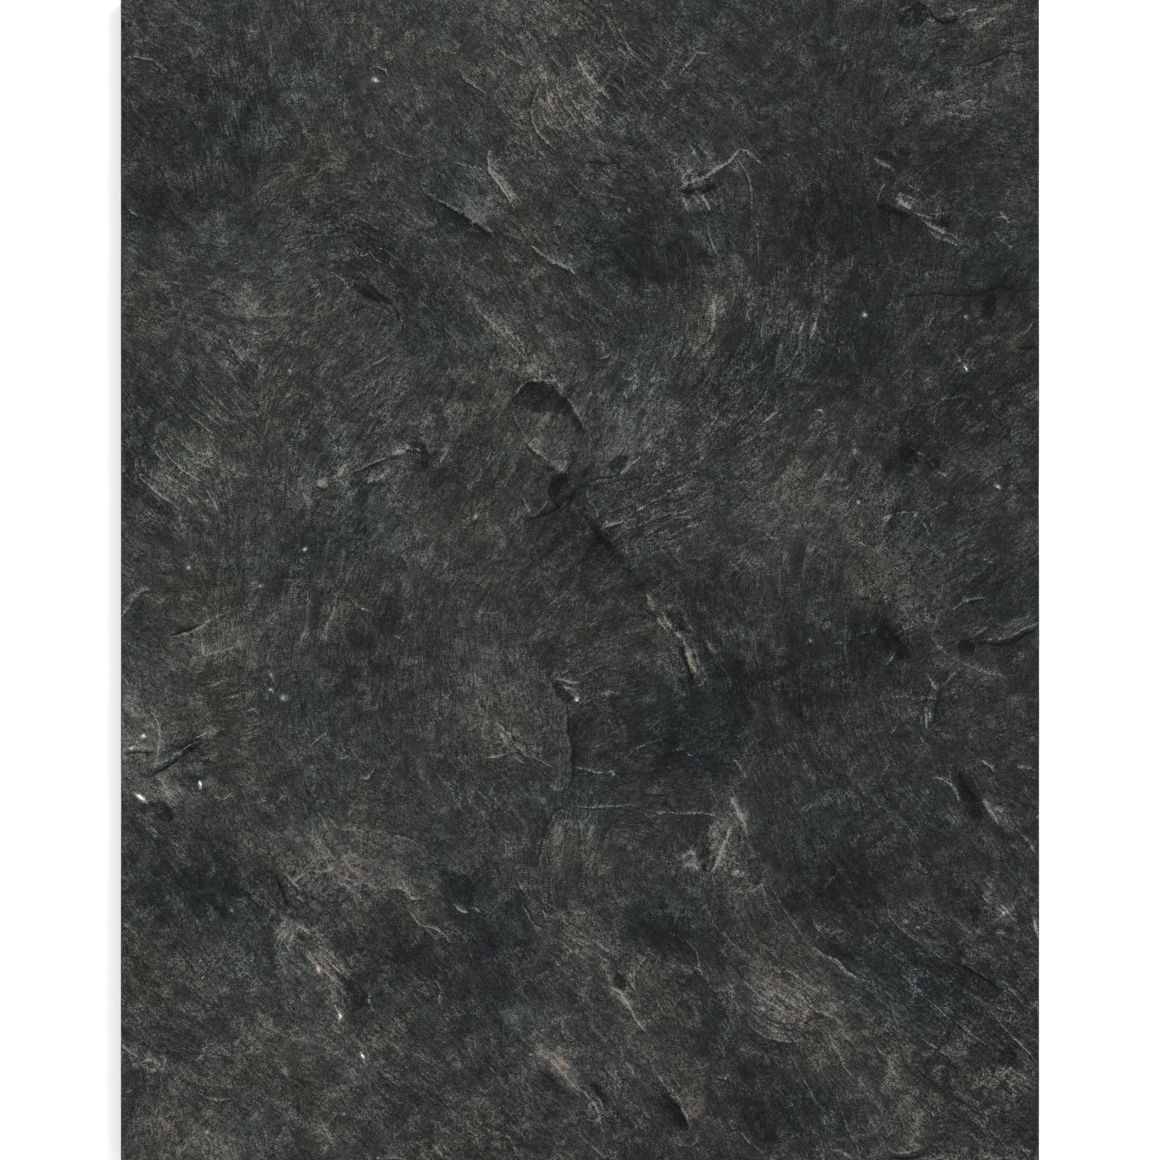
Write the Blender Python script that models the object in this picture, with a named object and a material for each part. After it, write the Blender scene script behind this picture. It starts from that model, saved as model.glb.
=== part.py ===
"""A riven slate slab, one piece of stone.

The upper face is split along the cleavage, with the broken edges of thin layers, crumbled
ridges, grooves and scars. The back is gauged flat and the four edges are sawn square.

Units are metres and +Z is up. The slab lies on its back: X runs across its width, Y along
its length, and the origin is the middle of the back.
"""
import math

import bmesh
import bpy
import numpy as np
from mathutils import Vector
from mathutils.geometry import delaunay_2d_cdt

MM = 0.001

# Driving dimensions, in metres.
WIDTH = 600 * MM
LENGTH = 760 * MM
THICKNESS = 22 * MM

# Slate colour and finish.
SLATE_COLOUR = (0.044, 0.047, 0.045, 1.0)
SLATE_ROUGHNESS = 0.72

# How finely the riven face is faceted, in millimetres.
EDGE_STEP = 10.0
FILL_STEP = 12.4
FEATURE_STEP = 8.0
CLEAR_OF_FEATURE = 5.0
CLEAR_OF_EDGE = 4.0
SAME_POINT = 1.6
FILL_JITTER = 0.18

# A layer's broken edge falls over this width, in millimetres.
BREAK_WIDTH = 2.2
# A line's relief fades in and out over this share of its length at each end.
END_FADE = 0.22
# The random lattice repeats after this many cells, which is more than the face holds.
LATTICE = 64
# A pit falls from its rim to its floor between these shares of its radius.
PIT_RIM = 1.0
PIT_FLOOR = 0.62

# Everything below is in millimetres on the face, from its middle.

# The slow warp of the cleavage: wave length, direction in degrees, phase in degrees, height.
WARP = [
    (620, 62, 20, 0.55),
    (410, 128, 75, 0.40),
    (255, 24, 140, 0.28),
]

# The uneven split between the named features: length along the grain, width across it,
# grain angle in degrees, height, seed.
SPLIT = [
    (130, 62, 132, 1.10, 11),
    (64, 30, 128, 0.80, 12),
    (38, 21, 52, 0.45, 13),
]

# Swells and hollows: centre, half length, half width, angle in degrees, height.
SWELLS = [
    ((-18, 318), 46, 34, 120, 0.9),
    ((-40, 128), 70, 26, 130, 0.8),
    ((42, 98), 46, 24, 10, 0.7),
    ((150, 46), 62, 38, 20, 0.9),
    ((-250, 68), 44, 30, 140, 0.7),
    ((-150, -188), 56, 28, 165, 1.0),
    ((-292, -102), 30, 44, 0, 0.8),
    ((-45, -78), 44, 36, 120, 0.7),
    ((136, -272), 44, 32, 150, 1.1),
    ((-10, -176), 16, 34, 75, 0.6),
    ((28, -292), 52, 30, 115, 0.6),
    ((212, -340), 22, 52, 0, 0.6),
    ((-250, -362), 40, 24, 10, 0.6),
    ((226, 322), 50, 26, 20, 0.5),
    ((90, 180), 30, 46, 160, 0.5),
    ((-241, 300), 46, 60, 0, -0.6),
    ((-128, 208), 52, 22, 140, -0.9),
    ((42, 218), 46, 26, 160, -0.8),
    ((164, 226), 44, 34, 20, -0.8),
    ((232, 96), 50, 30, 40, -0.9),
    ((0, 24), 40, 34, 130, -0.6),
    ((124, -74), 62, 30, 170, -0.8),
    ((56, -108), 48, 26, 0, -0.8),
    ((180, -204), 38, 22, 15, -0.7),
    ((-254, -196), 56, 26, 5, -0.9),
    ((-62, -256), 40, 50, 160, -1.0),
    ((236, -262), 60, 26, 145, -0.6),
    ((124, -352), 40, 26, 20, -0.7),
    ((-140, -46), 46, 30, 40, -0.5),
    ((-168, 18), 34, 30, 60, -0.4),
]

# Ledges, the broken edges of layers: height of the break, reach over which the face heals
# on both sides, and the line. Walked from first to last point, the higher layer is on the
# left.
LEDGES = {
    "long_brow": (2.1, 40, [(-96, 251), (-86, 246), (-76, 239), (-62, 231), (-46, 223),
                            (-31, 219), (-18, 209), (-8, 203), (0, 195)]),
    "neck_curl": (1.1, 16, [(-40, 240), (-46, 251), (-54, 263), (-59, 275), (-59, 287)]),
    "pale_ramp": (1.5, 34, [(-27, 139), (-40, 150), (-52, 161), (-62, 172), (-74, 184),
                            (-90, 193)]),
    "crescent_brow": (2.4, 22, [(-47, 116), (-40, 124), (-33, 129), (-22, 130), (-15, 123),
                                (-6, 114), (1, 101), (2, 92)]),
    "notch_lip": (1.2, 14, [(-38, 38), (-30, 42), (-23, 48), (-20, 56), (-19, 66)]),
    "slip_scarp": (2.2, 46, [(-4, 52), (3, 43), (11, 31), (21, 20), (31, 9), (40, -5),
                             (47, -18), (55, -31), (64, -42), (69, -54), (74, -68)]),
    "wedge_lip": (1.3, 16, [(40, 82), (33, 75), (27, 69), (14, 65), (-2, 63)]),
    "stair_edge": (1.8, 44, [(-16, -139), (-9, -131), (-8, -118), (-9, -100), (-9, -82),
                             (-14, -74), (-17, -64), (-25, -57), (-30, -48)]),
    "leaf_edge": (1.3, 26, [(1, -172), (-2, -160), (-8, -151), (-15, -153), (-20, -163),
                            (-25, -176), (-30, -190)]),
    "seam_step": (0.7, 12, [(100, -160), (88, -154), (76, -152), (58, -152), (40, -149),
                            (18, -149), (-3, -149)]),
    "spine_foot": (2.1, 36, [(45, -304), (51, -322), (58, -333), (66, -345), (72, -356),
                             (76, -366)]),
    "shell_rim": (1.7, 34, [(104, -272), (107, -286), (116, -296), (130, -301), (146, -298),
                            (160, -292), (168, -284)]),
    "tongue_edge": (1.4, 30, [(196, -263), (183, -259), (171, -252), (160, -244),
                              (146, -235)]),
    "shelf_edge": (1.7, 26, [(258, -45), (272, -42), (285, -38), (300, -31)]),
    "hook_brow": (1.9, 24, [(62, 255), (74, 259), (83, 265), (93, 270), (105, 281)]),
    "hook_tail": (1.1, 14, [(122, 268), (112, 275), (104, 280)]),
    "upper_lip": (1.7, 26, [(258, 216), (244, 227), (230, 233), (219, 241), (207, 246),
                            (195, 250)]),
    "upper_rim": (1.0, 12, [(188, 277), (197, 273), (208, 267)]),
    "left_shelf": (1.0, 16, [(-298, -32), (-293, -14), (-286, -5), (-276, -7)]),
    "left_wall": (1.0, 12, [(-279, -122), (-274, -108), (-274, -96), (-278, -84)]),
    "fold_line": (1.0, 16, [(-168, 232), (-152, 240), (-138, 232), (-122, 221)]),
    "right_sill": (1.0, 14, [(222, 44), (208, 41), (195, 38)]),
    "patch_top": (1.1, 28, [(-94, -184), (-104, -174), (-122, -167), (-140, -167),
                            (-168, -162)]),
    "patch_foot": (1.2, 16, [(-200, -200), (-188, -197), (-176, -192)]),
    "smear_edge": (1.4, 32, [(18, -358), (11, -344), (2, -331), (-10, -322), (-22, -314),
                             (-30, -301), (-30, -286)]),
    "small_step": (0.8, 10, [(-238, -21), (-250, -28), (-260, -33), (-270, -37)]),
    "mid_crumble": (0.9, 12, [(-22, -121), (-36, -113), (-46, -106), (-52, -95),
                              (-66, -96)]),
    "left_bay": (1.1, 26, [(-272, -310), (-286, -309), (-300, -303)]),
}

# Ridges, and grooves where the height is negative: height, half width, line.
RIDGES = {
    "spine": (1.5, 4.0, [(18, -264), (27, -271), (33, -281), (39, -291), (46, -302)]),
    "crumbled_crest": (1.5, 4.0, [(-174, 62), (-163, 64), (-152, 69), (-140, 76),
                                  (-124, 82), (-106, 85)]),
    "slip_crumble": (1.4, 5.0, [(46, -10), (53, -24), (61, -36), (69, -47), (73, -60)]),
    "star_crest": (1.4, 4.0, [(99, -144), (107, -158), (99, -168), (91, -180),
                              (84, -194)]),
    "left_ripple_outer": (0.8, 4.0, [(-293, 80), (-289, 69), (-278, 57), (-262, 45)]),
    "left_ripple_mid": (0.7, 3.5, [(-289, 84), (-282, 72), (-268, 62), (-254, 58)]),
    "left_ripple_inner": (0.7, 3.5, [(-274, 84), (-260, 74), (-243, 61)]),
    "left_ripple_top": (0.7, 3.5, [(-272, 104), (-256, 88), (-236, 80)]),
    "left_spur": (1.0, 3.5, [(-232, 163), (-226, 152), (-218, 140)]),
    "right_crumble": (1.2, 4.0, [(233, -61), (228, -72), (226, -86), (223, -99)]),
    "fan_rim": (0.8, 4.0, [(-27, 337), (-32, 318), (-31, 300), (-20, 284)]),
    "fan_rib": (0.6, 3.5, [(-2, 346), (4, 331), (13, 320), (22, 311)]),
    "patch_crest": (1.3, 5.0, [(-194, -194), (-180, -188), (-164, -187), (-148, -190)]),
    "patch_tail": (1.0, 4.0, [(-130, -198), (-118, -203), (-108, -209), (-98, -207)]),
    "left_blob": (1.3, 4.5, [(-287, -314), (-279, -317), (-270, -314)]),
    "drift_streak": (0.6, 3.5, [(-183, -243), (-168, -253), (-153, -266)]),
    "sliver_groove": (-1.7, 4.5, [(-162, 202), (-152, 191), (-140, 184), (-118, 181)]),
    "star_slit": (-2.3, 3.5, [(83, -168), (81, -180), (81, -192), (80, -204)]),
    "right_gash": (-2.3, 6.0, [(242, -119), (249, -133), (256, -145), (265, -158)]),
    "right_star": (-2.0, 5.0, [(198, -12), (196, -26), (202, -36), (213, -49)]),
    "right_star_arm": (-1.2, 4.5, [(180, -40), (192, -38), (204, -39)]),
    "edge_crack": (-0.9, 2.5, [(214, 185), (235, 188), (262, 186), (282, 189), (300, 187)]),
    "left_crack": (-1.2, 3.0, [(-284, -130), (-272, -122), (-258, -114), (-240, -108)]),
    "hook_groove": (-1.6, 3.5, [(64, 251), (76, 253), (90, 256)]),
    "lower_crack_one": (-0.8, 3.0, [(243, -250), (260, -259), (278, -267)]),
    "top_crack": (-0.9, 2.5, [(228, 373), (237, 364), (251, 370)]),
}

# Pits where a flake has come out: centre, half length, half width, angle, depth.
PITS = {
    "crescent_floor": ((-23, 117), 17, 8, 172, 0.9),
    "keyhole": ((-11, 58), 12, 9, 70, 2.3),
    "crest_end": ((-102, 77), 8, 6, 80, 1.4),
    "hook_pocket": ((80, 262), 6, 4, 20, 1.0),
    "upper_pocket": ((234, 235), 8, 5, 150, 1.6),
    "top_hollow": ((218, 371), 10, 8, 100, 1.5),
    "right_bite": ((214, 83), 10, 7, 160, 1.4),
    "right_pan": ((209, 53), 12, 9, 20, 0.8),
    "patch_pocket": ((-77, -202), 13, 7, 92, 1.6),
    "lower_pocket": ((-147, -272), 11, 8, 120, 1.4),
    "slip_pocket": ((61, -29), 10, 5, 115, 1.3),
    "spine_pocket": ((26, -260), 8, 6, 110, 1.0),
    "stair_pocket": ((-13, -71), 6, 4, 110, 1.0),
    "shell_pocket": ((154, -300), 9, 6, 10, 0.9),
    "left_pocket": ((-273, -150), 11, 7, 130, 1.1),
    "shelf_pocket": ((251, -44), 7, 5, 0, 0.9),
}


def ease(value):
    """A smooth step from 0 to 1 as value goes from 0 to 1."""
    value = np.clip(value, 0.0, 1.0)
    return value * value * (3.0 - 2.0 * value)


def beside_line(x, y, line):
    """The signed distance to a line, positive on its left, and the share of it walked."""
    line = np.array(line, float)
    spans = np.hypot(*np.diff(line, axis=0).T)
    nearest = np.full(x.shape, np.inf)
    signed = np.zeros(x.shape)
    walked = np.zeros(x.shape)
    before = 0.0
    for (ax, ay), (bx, by), span in zip(line[:-1], line[1:], spans):
        dx, dy = (bx - ax) / span, (by - ay) / span
        along = np.clip((x - ax) * dx + (y - ay) * dy, 0.0, span)
        gap = np.hypot(x - ax - along * dx, y - ay - along * dy)
        left = np.where((y - ay) * dx - (x - ax) * dy >= 0.0, 1.0, -1.0)
        closer = gap < nearest
        nearest = np.where(closer, gap, nearest)
        signed = np.where(closer, left * gap, signed)
        walked = np.where(closer, before + along, walked)
        before += span
    return signed, walked / before


def end_fade(walked):
    """Full relief along a line, fading to nothing at both ends."""
    return ease(np.minimum(walked, 1.0 - walked) / END_FADE)


def ledge_height(x, y, rise, reach, line):
    signed, walked = beside_line(x, y, line)
    side = np.clip(signed / (BREAK_WIDTH / 2), -1.0, 1.0)
    healed = np.exp(-np.maximum(np.abs(signed) - BREAK_WIDTH / 2, 0.0) / reach)
    return rise / 2 * side * healed * end_fade(walked)


def ridge_height(x, y, height, half_width, line):
    signed, walked = beside_line(x, y, line)
    return height * np.clip(1.0 - np.abs(signed) / half_width, 0.0, 1.0) * end_fade(walked)


def from_centre(x, y, centre, half_length, half_width, angle):
    """How far each point is from the centre of an ellipse, where its rim is 1."""
    turn = math.radians(angle)
    across, up = x - centre[0], y - centre[1]
    along = across * math.cos(turn) + up * math.sin(turn)
    aside = up * math.cos(turn) - across * math.sin(turn)
    return np.hypot(along / half_length, aside / half_width)


def uneven(x, y, seed):
    """Smooth random heights from -1 to 1, on a lattice of unit cells."""
    lattice = np.random.default_rng(seed).uniform(-1.0, 1.0, (LATTICE, LATTICE))
    column, row = np.floor(x), np.floor(y)
    across, up = ease(x - column), ease(y - row)
    left, low = column.astype(int) % LATTICE, row.astype(int) % LATTICE
    right, high = (left + 1) % LATTICE, (low + 1) % LATTICE
    below = lattice[low, left] * (1 - across) + lattice[low, right] * across
    above = lattice[high, left] * (1 - across) + lattice[high, right] * across
    return below * (1 - up) + above * up


def face_height(x, y):
    """The riven face above the slab's mean thickness, all in millimetres."""
    height = np.zeros(x.shape)
    for wave, direction, phase, size in WARP:
        turn = math.radians(direction)
        run = (x * math.cos(turn) + y * math.sin(turn)) / wave
        height += size * np.sin(2 * math.pi * run + math.radians(phase))
    for length, width, angle, size, seed in SPLIT:
        turn = math.radians(angle)
        along = (x * math.cos(turn) + y * math.sin(turn)) / length
        aside = (y * math.cos(turn) - x * math.sin(turn)) / width
        height += size * uneven(along, aside, seed)
    for centre, half_length, half_width, angle, size in SWELLS:
        height += size * np.exp(-from_centre(x, y, centre, half_length, half_width, angle) ** 2)
    for rise, reach, line in LEDGES.values():
        height += ledge_height(x, y, rise, reach, line)
    for size, half_width, line in RIDGES.values():
        height += ridge_height(x, y, size, half_width, line)
    for centre, half_length, half_width, angle, depth in PITS.values():
        out = from_centre(x, y, centre, half_length, half_width, angle)
        height -= depth * ease((PIT_RIM - out) / (PIT_RIM - PIT_FLOOR))
    return height


def stations(line, step):
    """Points about one step apart along a line, with the left normal at each."""
    line = np.array(line, float)
    spans = np.hypot(*np.diff(line, axis=0).T)
    walked = np.concatenate([[0.0], np.cumsum(spans)])
    count = max(2, round(walked[-1] / step)) + 1
    at = np.linspace(0.0, walked[-1], count)
    places = np.stack([np.interp(at, walked, line[:, 0]), np.interp(at, walked, line[:, 1])], 1)
    tangents = np.gradient(places, axis=0)
    tangents /= np.hypot(*tangents.T)[:, None]
    return places, np.stack([-tangents[:, 1], tangents[:, 0]], 1)


def feature_rows():
    """Rows of points that the facets follow, so that each break and crest stays sharp."""
    rows = []
    for _, _, line in LEDGES.values():
        places, normals = stations(line, FEATURE_STEP)
        rows += [places + side * BREAK_WIDTH / 2 * normals for side in (-1, 1)]
    for _, half_width, line in RIDGES.values():
        places, normals = stations(line, FEATURE_STEP)
        rows += [places + side * half_width * normals for side in (-1, 0, 1)]
    for centre, half_length, half_width, angle, _ in PITS.values():
        turn = math.radians(angle)
        for share in (PIT_FLOOR, PIT_RIM):
            count = max(6, round(2 * math.pi * share * half_length / FEATURE_STEP))
            around = np.linspace(0.0, 2 * math.pi, count, endpoint=False)
            along = share * half_length * np.cos(around)
            aside = share * half_width * np.sin(around)
            rows.append(np.stack([centre[0] + along * math.cos(turn) - aside * math.sin(turn),
                                  centre[1] + along * math.sin(turn) + aside * math.cos(turn)], 1))
    return rows


def rim_points():
    """Points round the four sawn edges, in order, starting at the lower left corner."""
    half_x, half_y = WIDTH / MM / 2, LENGTH / MM / 2
    corners = [(-half_x, -half_y), (half_x, -half_y), (half_x, half_y), (-half_x, half_y)]
    points = []
    for start, end in zip(corners, corners[1:] + corners[:1]):
        count = round(math.dist(start, end) / EDGE_STEP)
        points += [(start[0] + (end[0] - start[0]) * i / count,
                    start[1] + (end[1] - start[1]) * i / count) for i in range(count)]
    return points


def fill_points():
    """A loose triangular lattice over the face, shaken a little so that no rows show."""
    shake = np.random.default_rng(7)
    half_x, half_y = WIDTH / MM / 2 - CLEAR_OF_EDGE, LENGTH / MM / 2 - CLEAR_OF_EDGE
    points = []
    for row, y in enumerate(np.arange(-half_y, half_y, FILL_STEP * math.sqrt(3) / 2)):
        start = -half_x + (row % 2) * FILL_STEP / 2
        for x in np.arange(start, half_x, FILL_STEP):
            dx, dy = shake.uniform(-FILL_JITTER, FILL_JITTER, 2) * FILL_STEP
            points.append((min(max(x + dx, -half_x), half_x), min(max(y + dy, -half_y), half_y)))
    return points


def spaced(points, taken, gap):
    """The points that keep the given gap from those taken and from each other."""
    taken = list(taken)
    kept = []
    for point in points:
        near = np.array(taken)
        if np.hypot(near[:, 0] - point[0], near[:, 1] - point[1]).min() >= gap:
            taken.append(tuple(point))
            kept.append(tuple(point))
    return kept


def face_layout():
    """Every facet corner of the riven face, the rim's corners first."""
    half_x, half_y = WIDTH / MM / 2 - CLEAR_OF_EDGE, LENGTH / MM / 2 - CLEAR_OF_EDGE
    rim = rim_points()
    rows = np.concatenate(feature_rows())
    inside = rows[(np.abs(rows[:, 0]) < half_x) & (np.abs(rows[:, 1]) < half_y)]
    features = spaced(inside, rim, SAME_POINT)
    fill = spaced(fill_points(), rim + features, CLEAR_OF_FEATURE)
    return rim, rim + features + fill


def slab_mesh():
    """The closed mesh: the riven face, four flat sawn edges and the flat back."""
    rim, layout = face_layout()
    count = len(rim)
    borders = [(i, (i + 1) % count) for i in range(count)]
    flat, _, facets, *_ = delaunay_2d_cdt([Vector(p) for p in layout], borders, [], 0, 1e-5)
    x, y = np.array(flat).T
    z = THICKNESS / MM + face_height(x, y)

    shape = bmesh.new()
    top = [shape.verts.new((px * MM, py * MM, pz * MM)) for px, py, pz in zip(x, y, z)]
    for facet in facets:
        shape.faces.new([top[i] for i in facet])
    corner_steps = [round(WIDTH / MM / EDGE_STEP), round(LENGTH / MM / EDGE_STEP)] * 2
    starts = [sum(corner_steps[:i]) for i in range(4)]
    feet = [shape.verts.new((top[i].co.x, top[i].co.y, 0.0)) for i in starts]
    for side in range(4):
        first = starts[side]
        edge = [top[(first + i) % count] for i in range(corner_steps[side] + 1)]
        shape.faces.new([feet[side], feet[(side + 1) % 4]] + edge[::-1])
    shape.faces.new(feet[::-1])
    bmesh.ops.recalc_face_normals(shape, faces=shape.faces)

    mesh = bpy.data.meshes.new("slate_slab")
    shape.to_mesh(mesh)
    shape.free()
    return mesh


def slate_material():
    material = bpy.data.materials.new("slate")
    material.use_nodes = True
    surface = material.node_tree.nodes["Principled BSDF"]
    surface.inputs["Base Color"].default_value = SLATE_COLOUR
    surface.inputs["Roughness"].default_value = SLATE_ROUGHNESS
    surface.inputs["Metallic"].default_value = 0.0
    return material


def clear_scene():
    for old in list(bpy.data.objects):
        bpy.data.objects.remove(old, do_unlink=True)


def main():
    clear_scene()
    slab = bpy.data.objects.new("slate_slab", slab_mesh())
    slab.data.materials.append(slate_material())
    bpy.context.scene.collection.objects.link(slab)


main()
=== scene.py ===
"""The looks of the riven slate slab, laid on its back and seen from straight above."""
import math

import bpy
import numpy as np
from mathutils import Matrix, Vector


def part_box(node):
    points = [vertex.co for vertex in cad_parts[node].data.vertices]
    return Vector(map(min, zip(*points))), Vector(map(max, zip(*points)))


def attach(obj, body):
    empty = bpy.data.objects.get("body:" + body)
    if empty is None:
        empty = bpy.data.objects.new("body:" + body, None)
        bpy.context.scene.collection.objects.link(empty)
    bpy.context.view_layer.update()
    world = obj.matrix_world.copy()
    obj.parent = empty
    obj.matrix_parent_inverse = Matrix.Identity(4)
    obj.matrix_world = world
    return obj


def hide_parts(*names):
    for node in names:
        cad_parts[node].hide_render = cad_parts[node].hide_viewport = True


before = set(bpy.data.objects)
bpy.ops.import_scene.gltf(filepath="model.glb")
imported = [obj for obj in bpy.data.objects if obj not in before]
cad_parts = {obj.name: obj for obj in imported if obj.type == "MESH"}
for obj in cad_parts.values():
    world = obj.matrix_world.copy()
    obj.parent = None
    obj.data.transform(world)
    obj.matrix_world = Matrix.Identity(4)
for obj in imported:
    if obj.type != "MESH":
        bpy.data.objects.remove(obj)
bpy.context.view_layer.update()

MM = 0.001
NODE = "slate_slab"
low_corner, high_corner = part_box(NODE)
HALF_X = (high_corner[0] - low_corner[0]) / 2 / MM
HALF_Y = (high_corner[1] - low_corner[1]) / 2 / MM
THICKNESS = 22.0

# ---------------------------------------------------------------------------------------
# The relief of the solid. All of it is in millimetres on the face, from its middle.

# The slow warp of the cleavage: wave length, direction in degrees, phase in degrees, height.
WARP = [
    (620, 62, 20, 0.55),
    (410, 128, 75, 0.40),
    (255, 24, 140, 0.28),
]

# The uneven split between the named features: length along the grain, width across it,
# grain angle in degrees, height, seed.
SPLIT = [
    (130, 62, 132, 1.10, 11),
    (64, 30, 128, 0.80, 12),
    (38, 21, 52, 0.45, 13),
]
LATTICE = 64
FINE_LATTICE, ARRIS_LATTICE = 256, 512

# Swells and hollows: centre, half length, half width, angle in degrees, height.
SWELLS = [
    ((-18, 318), 46, 34, 120, 0.9),
    ((-40, 128), 70, 26, 130, 0.8),
    ((42, 98), 46, 24, 10, 0.7),
    ((150, 46), 62, 38, 20, 0.9),
    ((-250, 68), 44, 30, 140, 0.7),
    ((-150, -188), 56, 28, 165, 1.0),
    ((-292, -102), 30, 44, 0, 0.8),
    ((-45, -78), 44, 36, 120, 0.7),
    ((136, -272), 44, 32, 150, 1.1),
    ((-10, -176), 16, 34, 75, 0.6),
    ((28, -292), 52, 30, 115, 0.6),
    ((212, -340), 22, 52, 0, 0.6),
    ((-250, -362), 40, 24, 10, 0.6),
    ((226, 322), 50, 26, 20, 0.5),
    ((90, 180), 30, 46, 160, 0.5),
    ((-241, 300), 46, 60, 0, -0.6),
    ((-128, 208), 52, 22, 140, -0.9),
    ((42, 218), 46, 26, 160, -0.8),
    ((164, 226), 44, 34, 20, -0.8),
    ((232, 96), 50, 30, 40, -0.9),
    ((0, 24), 40, 34, 130, -0.6),
    ((124, -74), 62, 30, 170, -0.8),
    ((56, -108), 48, 26, 0, -0.8),
    ((180, -204), 38, 22, 15, -0.7),
    ((-254, -196), 56, 26, 5, -0.9),
    ((-62, -256), 40, 50, 160, -1.0),
    ((236, -262), 60, 26, 145, -0.6),
    ((124, -352), 40, 26, 20, -0.7),
    ((-140, -46), 46, 30, 40, -0.5),
    ((-168, 18), 34, 30, 60, -0.4),
]

# Ledges: height of the break, reach over which the face heals, and the line. Walked from
# first to last point, the higher layer is on the left.
LEDGES = {
    "long_brow": (2.1, 40, [(-96, 251), (-86, 246), (-76, 239), (-62, 231), (-46, 223),
                            (-31, 219), (-18, 209), (-8, 203), (0, 195)]),
    "neck_curl": (1.1, 16, [(-40, 240), (-46, 251), (-54, 263), (-59, 275), (-59, 287)]),
    "pale_ramp": (1.5, 34, [(-27, 139), (-40, 150), (-52, 161), (-62, 172), (-74, 184),
                            (-90, 193)]),
    "crescent_brow": (2.4, 22, [(-47, 116), (-40, 124), (-33, 129), (-22, 130), (-15, 123),
                                (-6, 114), (1, 101), (2, 92)]),
    "notch_lip": (1.2, 14, [(-38, 38), (-30, 42), (-23, 48), (-20, 56), (-19, 66)]),
    "slip_scarp": (2.2, 46, [(-4, 52), (3, 43), (11, 31), (21, 20), (31, 9), (40, -5),
                             (47, -18), (55, -31), (64, -42), (69, -54), (74, -68)]),
    "wedge_lip": (1.3, 16, [(40, 82), (33, 75), (27, 69), (14, 65), (-2, 63)]),
    "stair_edge": (1.8, 44, [(-16, -139), (-9, -131), (-8, -118), (-9, -100), (-9, -82),
                             (-14, -74), (-17, -64), (-25, -57), (-30, -48)]),
    "leaf_edge": (1.3, 26, [(1, -172), (-2, -160), (-8, -151), (-15, -153), (-20, -163),
                            (-25, -176), (-30, -190)]),
    "seam_step": (0.7, 12, [(100, -160), (88, -154), (76, -152), (58, -152), (40, -149),
                            (18, -149), (-3, -149)]),
    "spine_foot": (2.1, 36, [(45, -304), (51, -322), (58, -333), (66, -345), (72, -356),
                             (76, -366)]),
    "shell_rim": (1.7, 34, [(104, -272), (107, -286), (116, -296), (130, -301), (146, -298),
                            (160, -292), (168, -284)]),
    "tongue_edge": (1.4, 30, [(196, -263), (183, -259), (171, -252), (160, -244),
                              (146, -235)]),
    "shelf_edge": (1.7, 26, [(258, -45), (272, -42), (285, -38), (300, -31)]),
    "hook_brow": (1.9, 24, [(62, 255), (74, 259), (83, 265), (93, 270), (105, 281)]),
    "hook_tail": (1.1, 14, [(122, 268), (112, 275), (104, 280)]),
    "upper_lip": (1.7, 26, [(258, 216), (244, 227), (230, 233), (219, 241), (207, 246),
                            (195, 250)]),
    "upper_rim": (1.0, 12, [(188, 277), (197, 273), (208, 267)]),
    "left_shelf": (1.0, 16, [(-298, -32), (-293, -14), (-286, -5), (-276, -7)]),
    "left_wall": (1.0, 12, [(-279, -122), (-274, -108), (-274, -96), (-278, -84)]),
    "fold_line": (1.0, 16, [(-168, 232), (-152, 240), (-138, 232), (-122, 221)]),
    "right_sill": (1.0, 14, [(222, 44), (208, 41), (195, 38)]),
    "patch_top": (1.1, 28, [(-94, -184), (-104, -174), (-122, -167), (-140, -167),
                            (-168, -162)]),
    "patch_foot": (1.2, 16, [(-200, -200), (-188, -197), (-176, -192)]),
    "smear_edge": (1.4, 32, [(18, -358), (11, -344), (2, -331), (-10, -322), (-22, -314),
                             (-30, -301), (-30, -286)]),
    "small_step": (0.8, 10, [(-238, -21), (-250, -28), (-260, -33), (-270, -37)]),
    "mid_crumble": (0.9, 12, [(-22, -121), (-36, -113), (-46, -106), (-52, -95),
                              (-66, -96)]),
    "left_bay": (1.1, 26, [(-272, -310), (-286, -309), (-300, -303)]),
}

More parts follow.
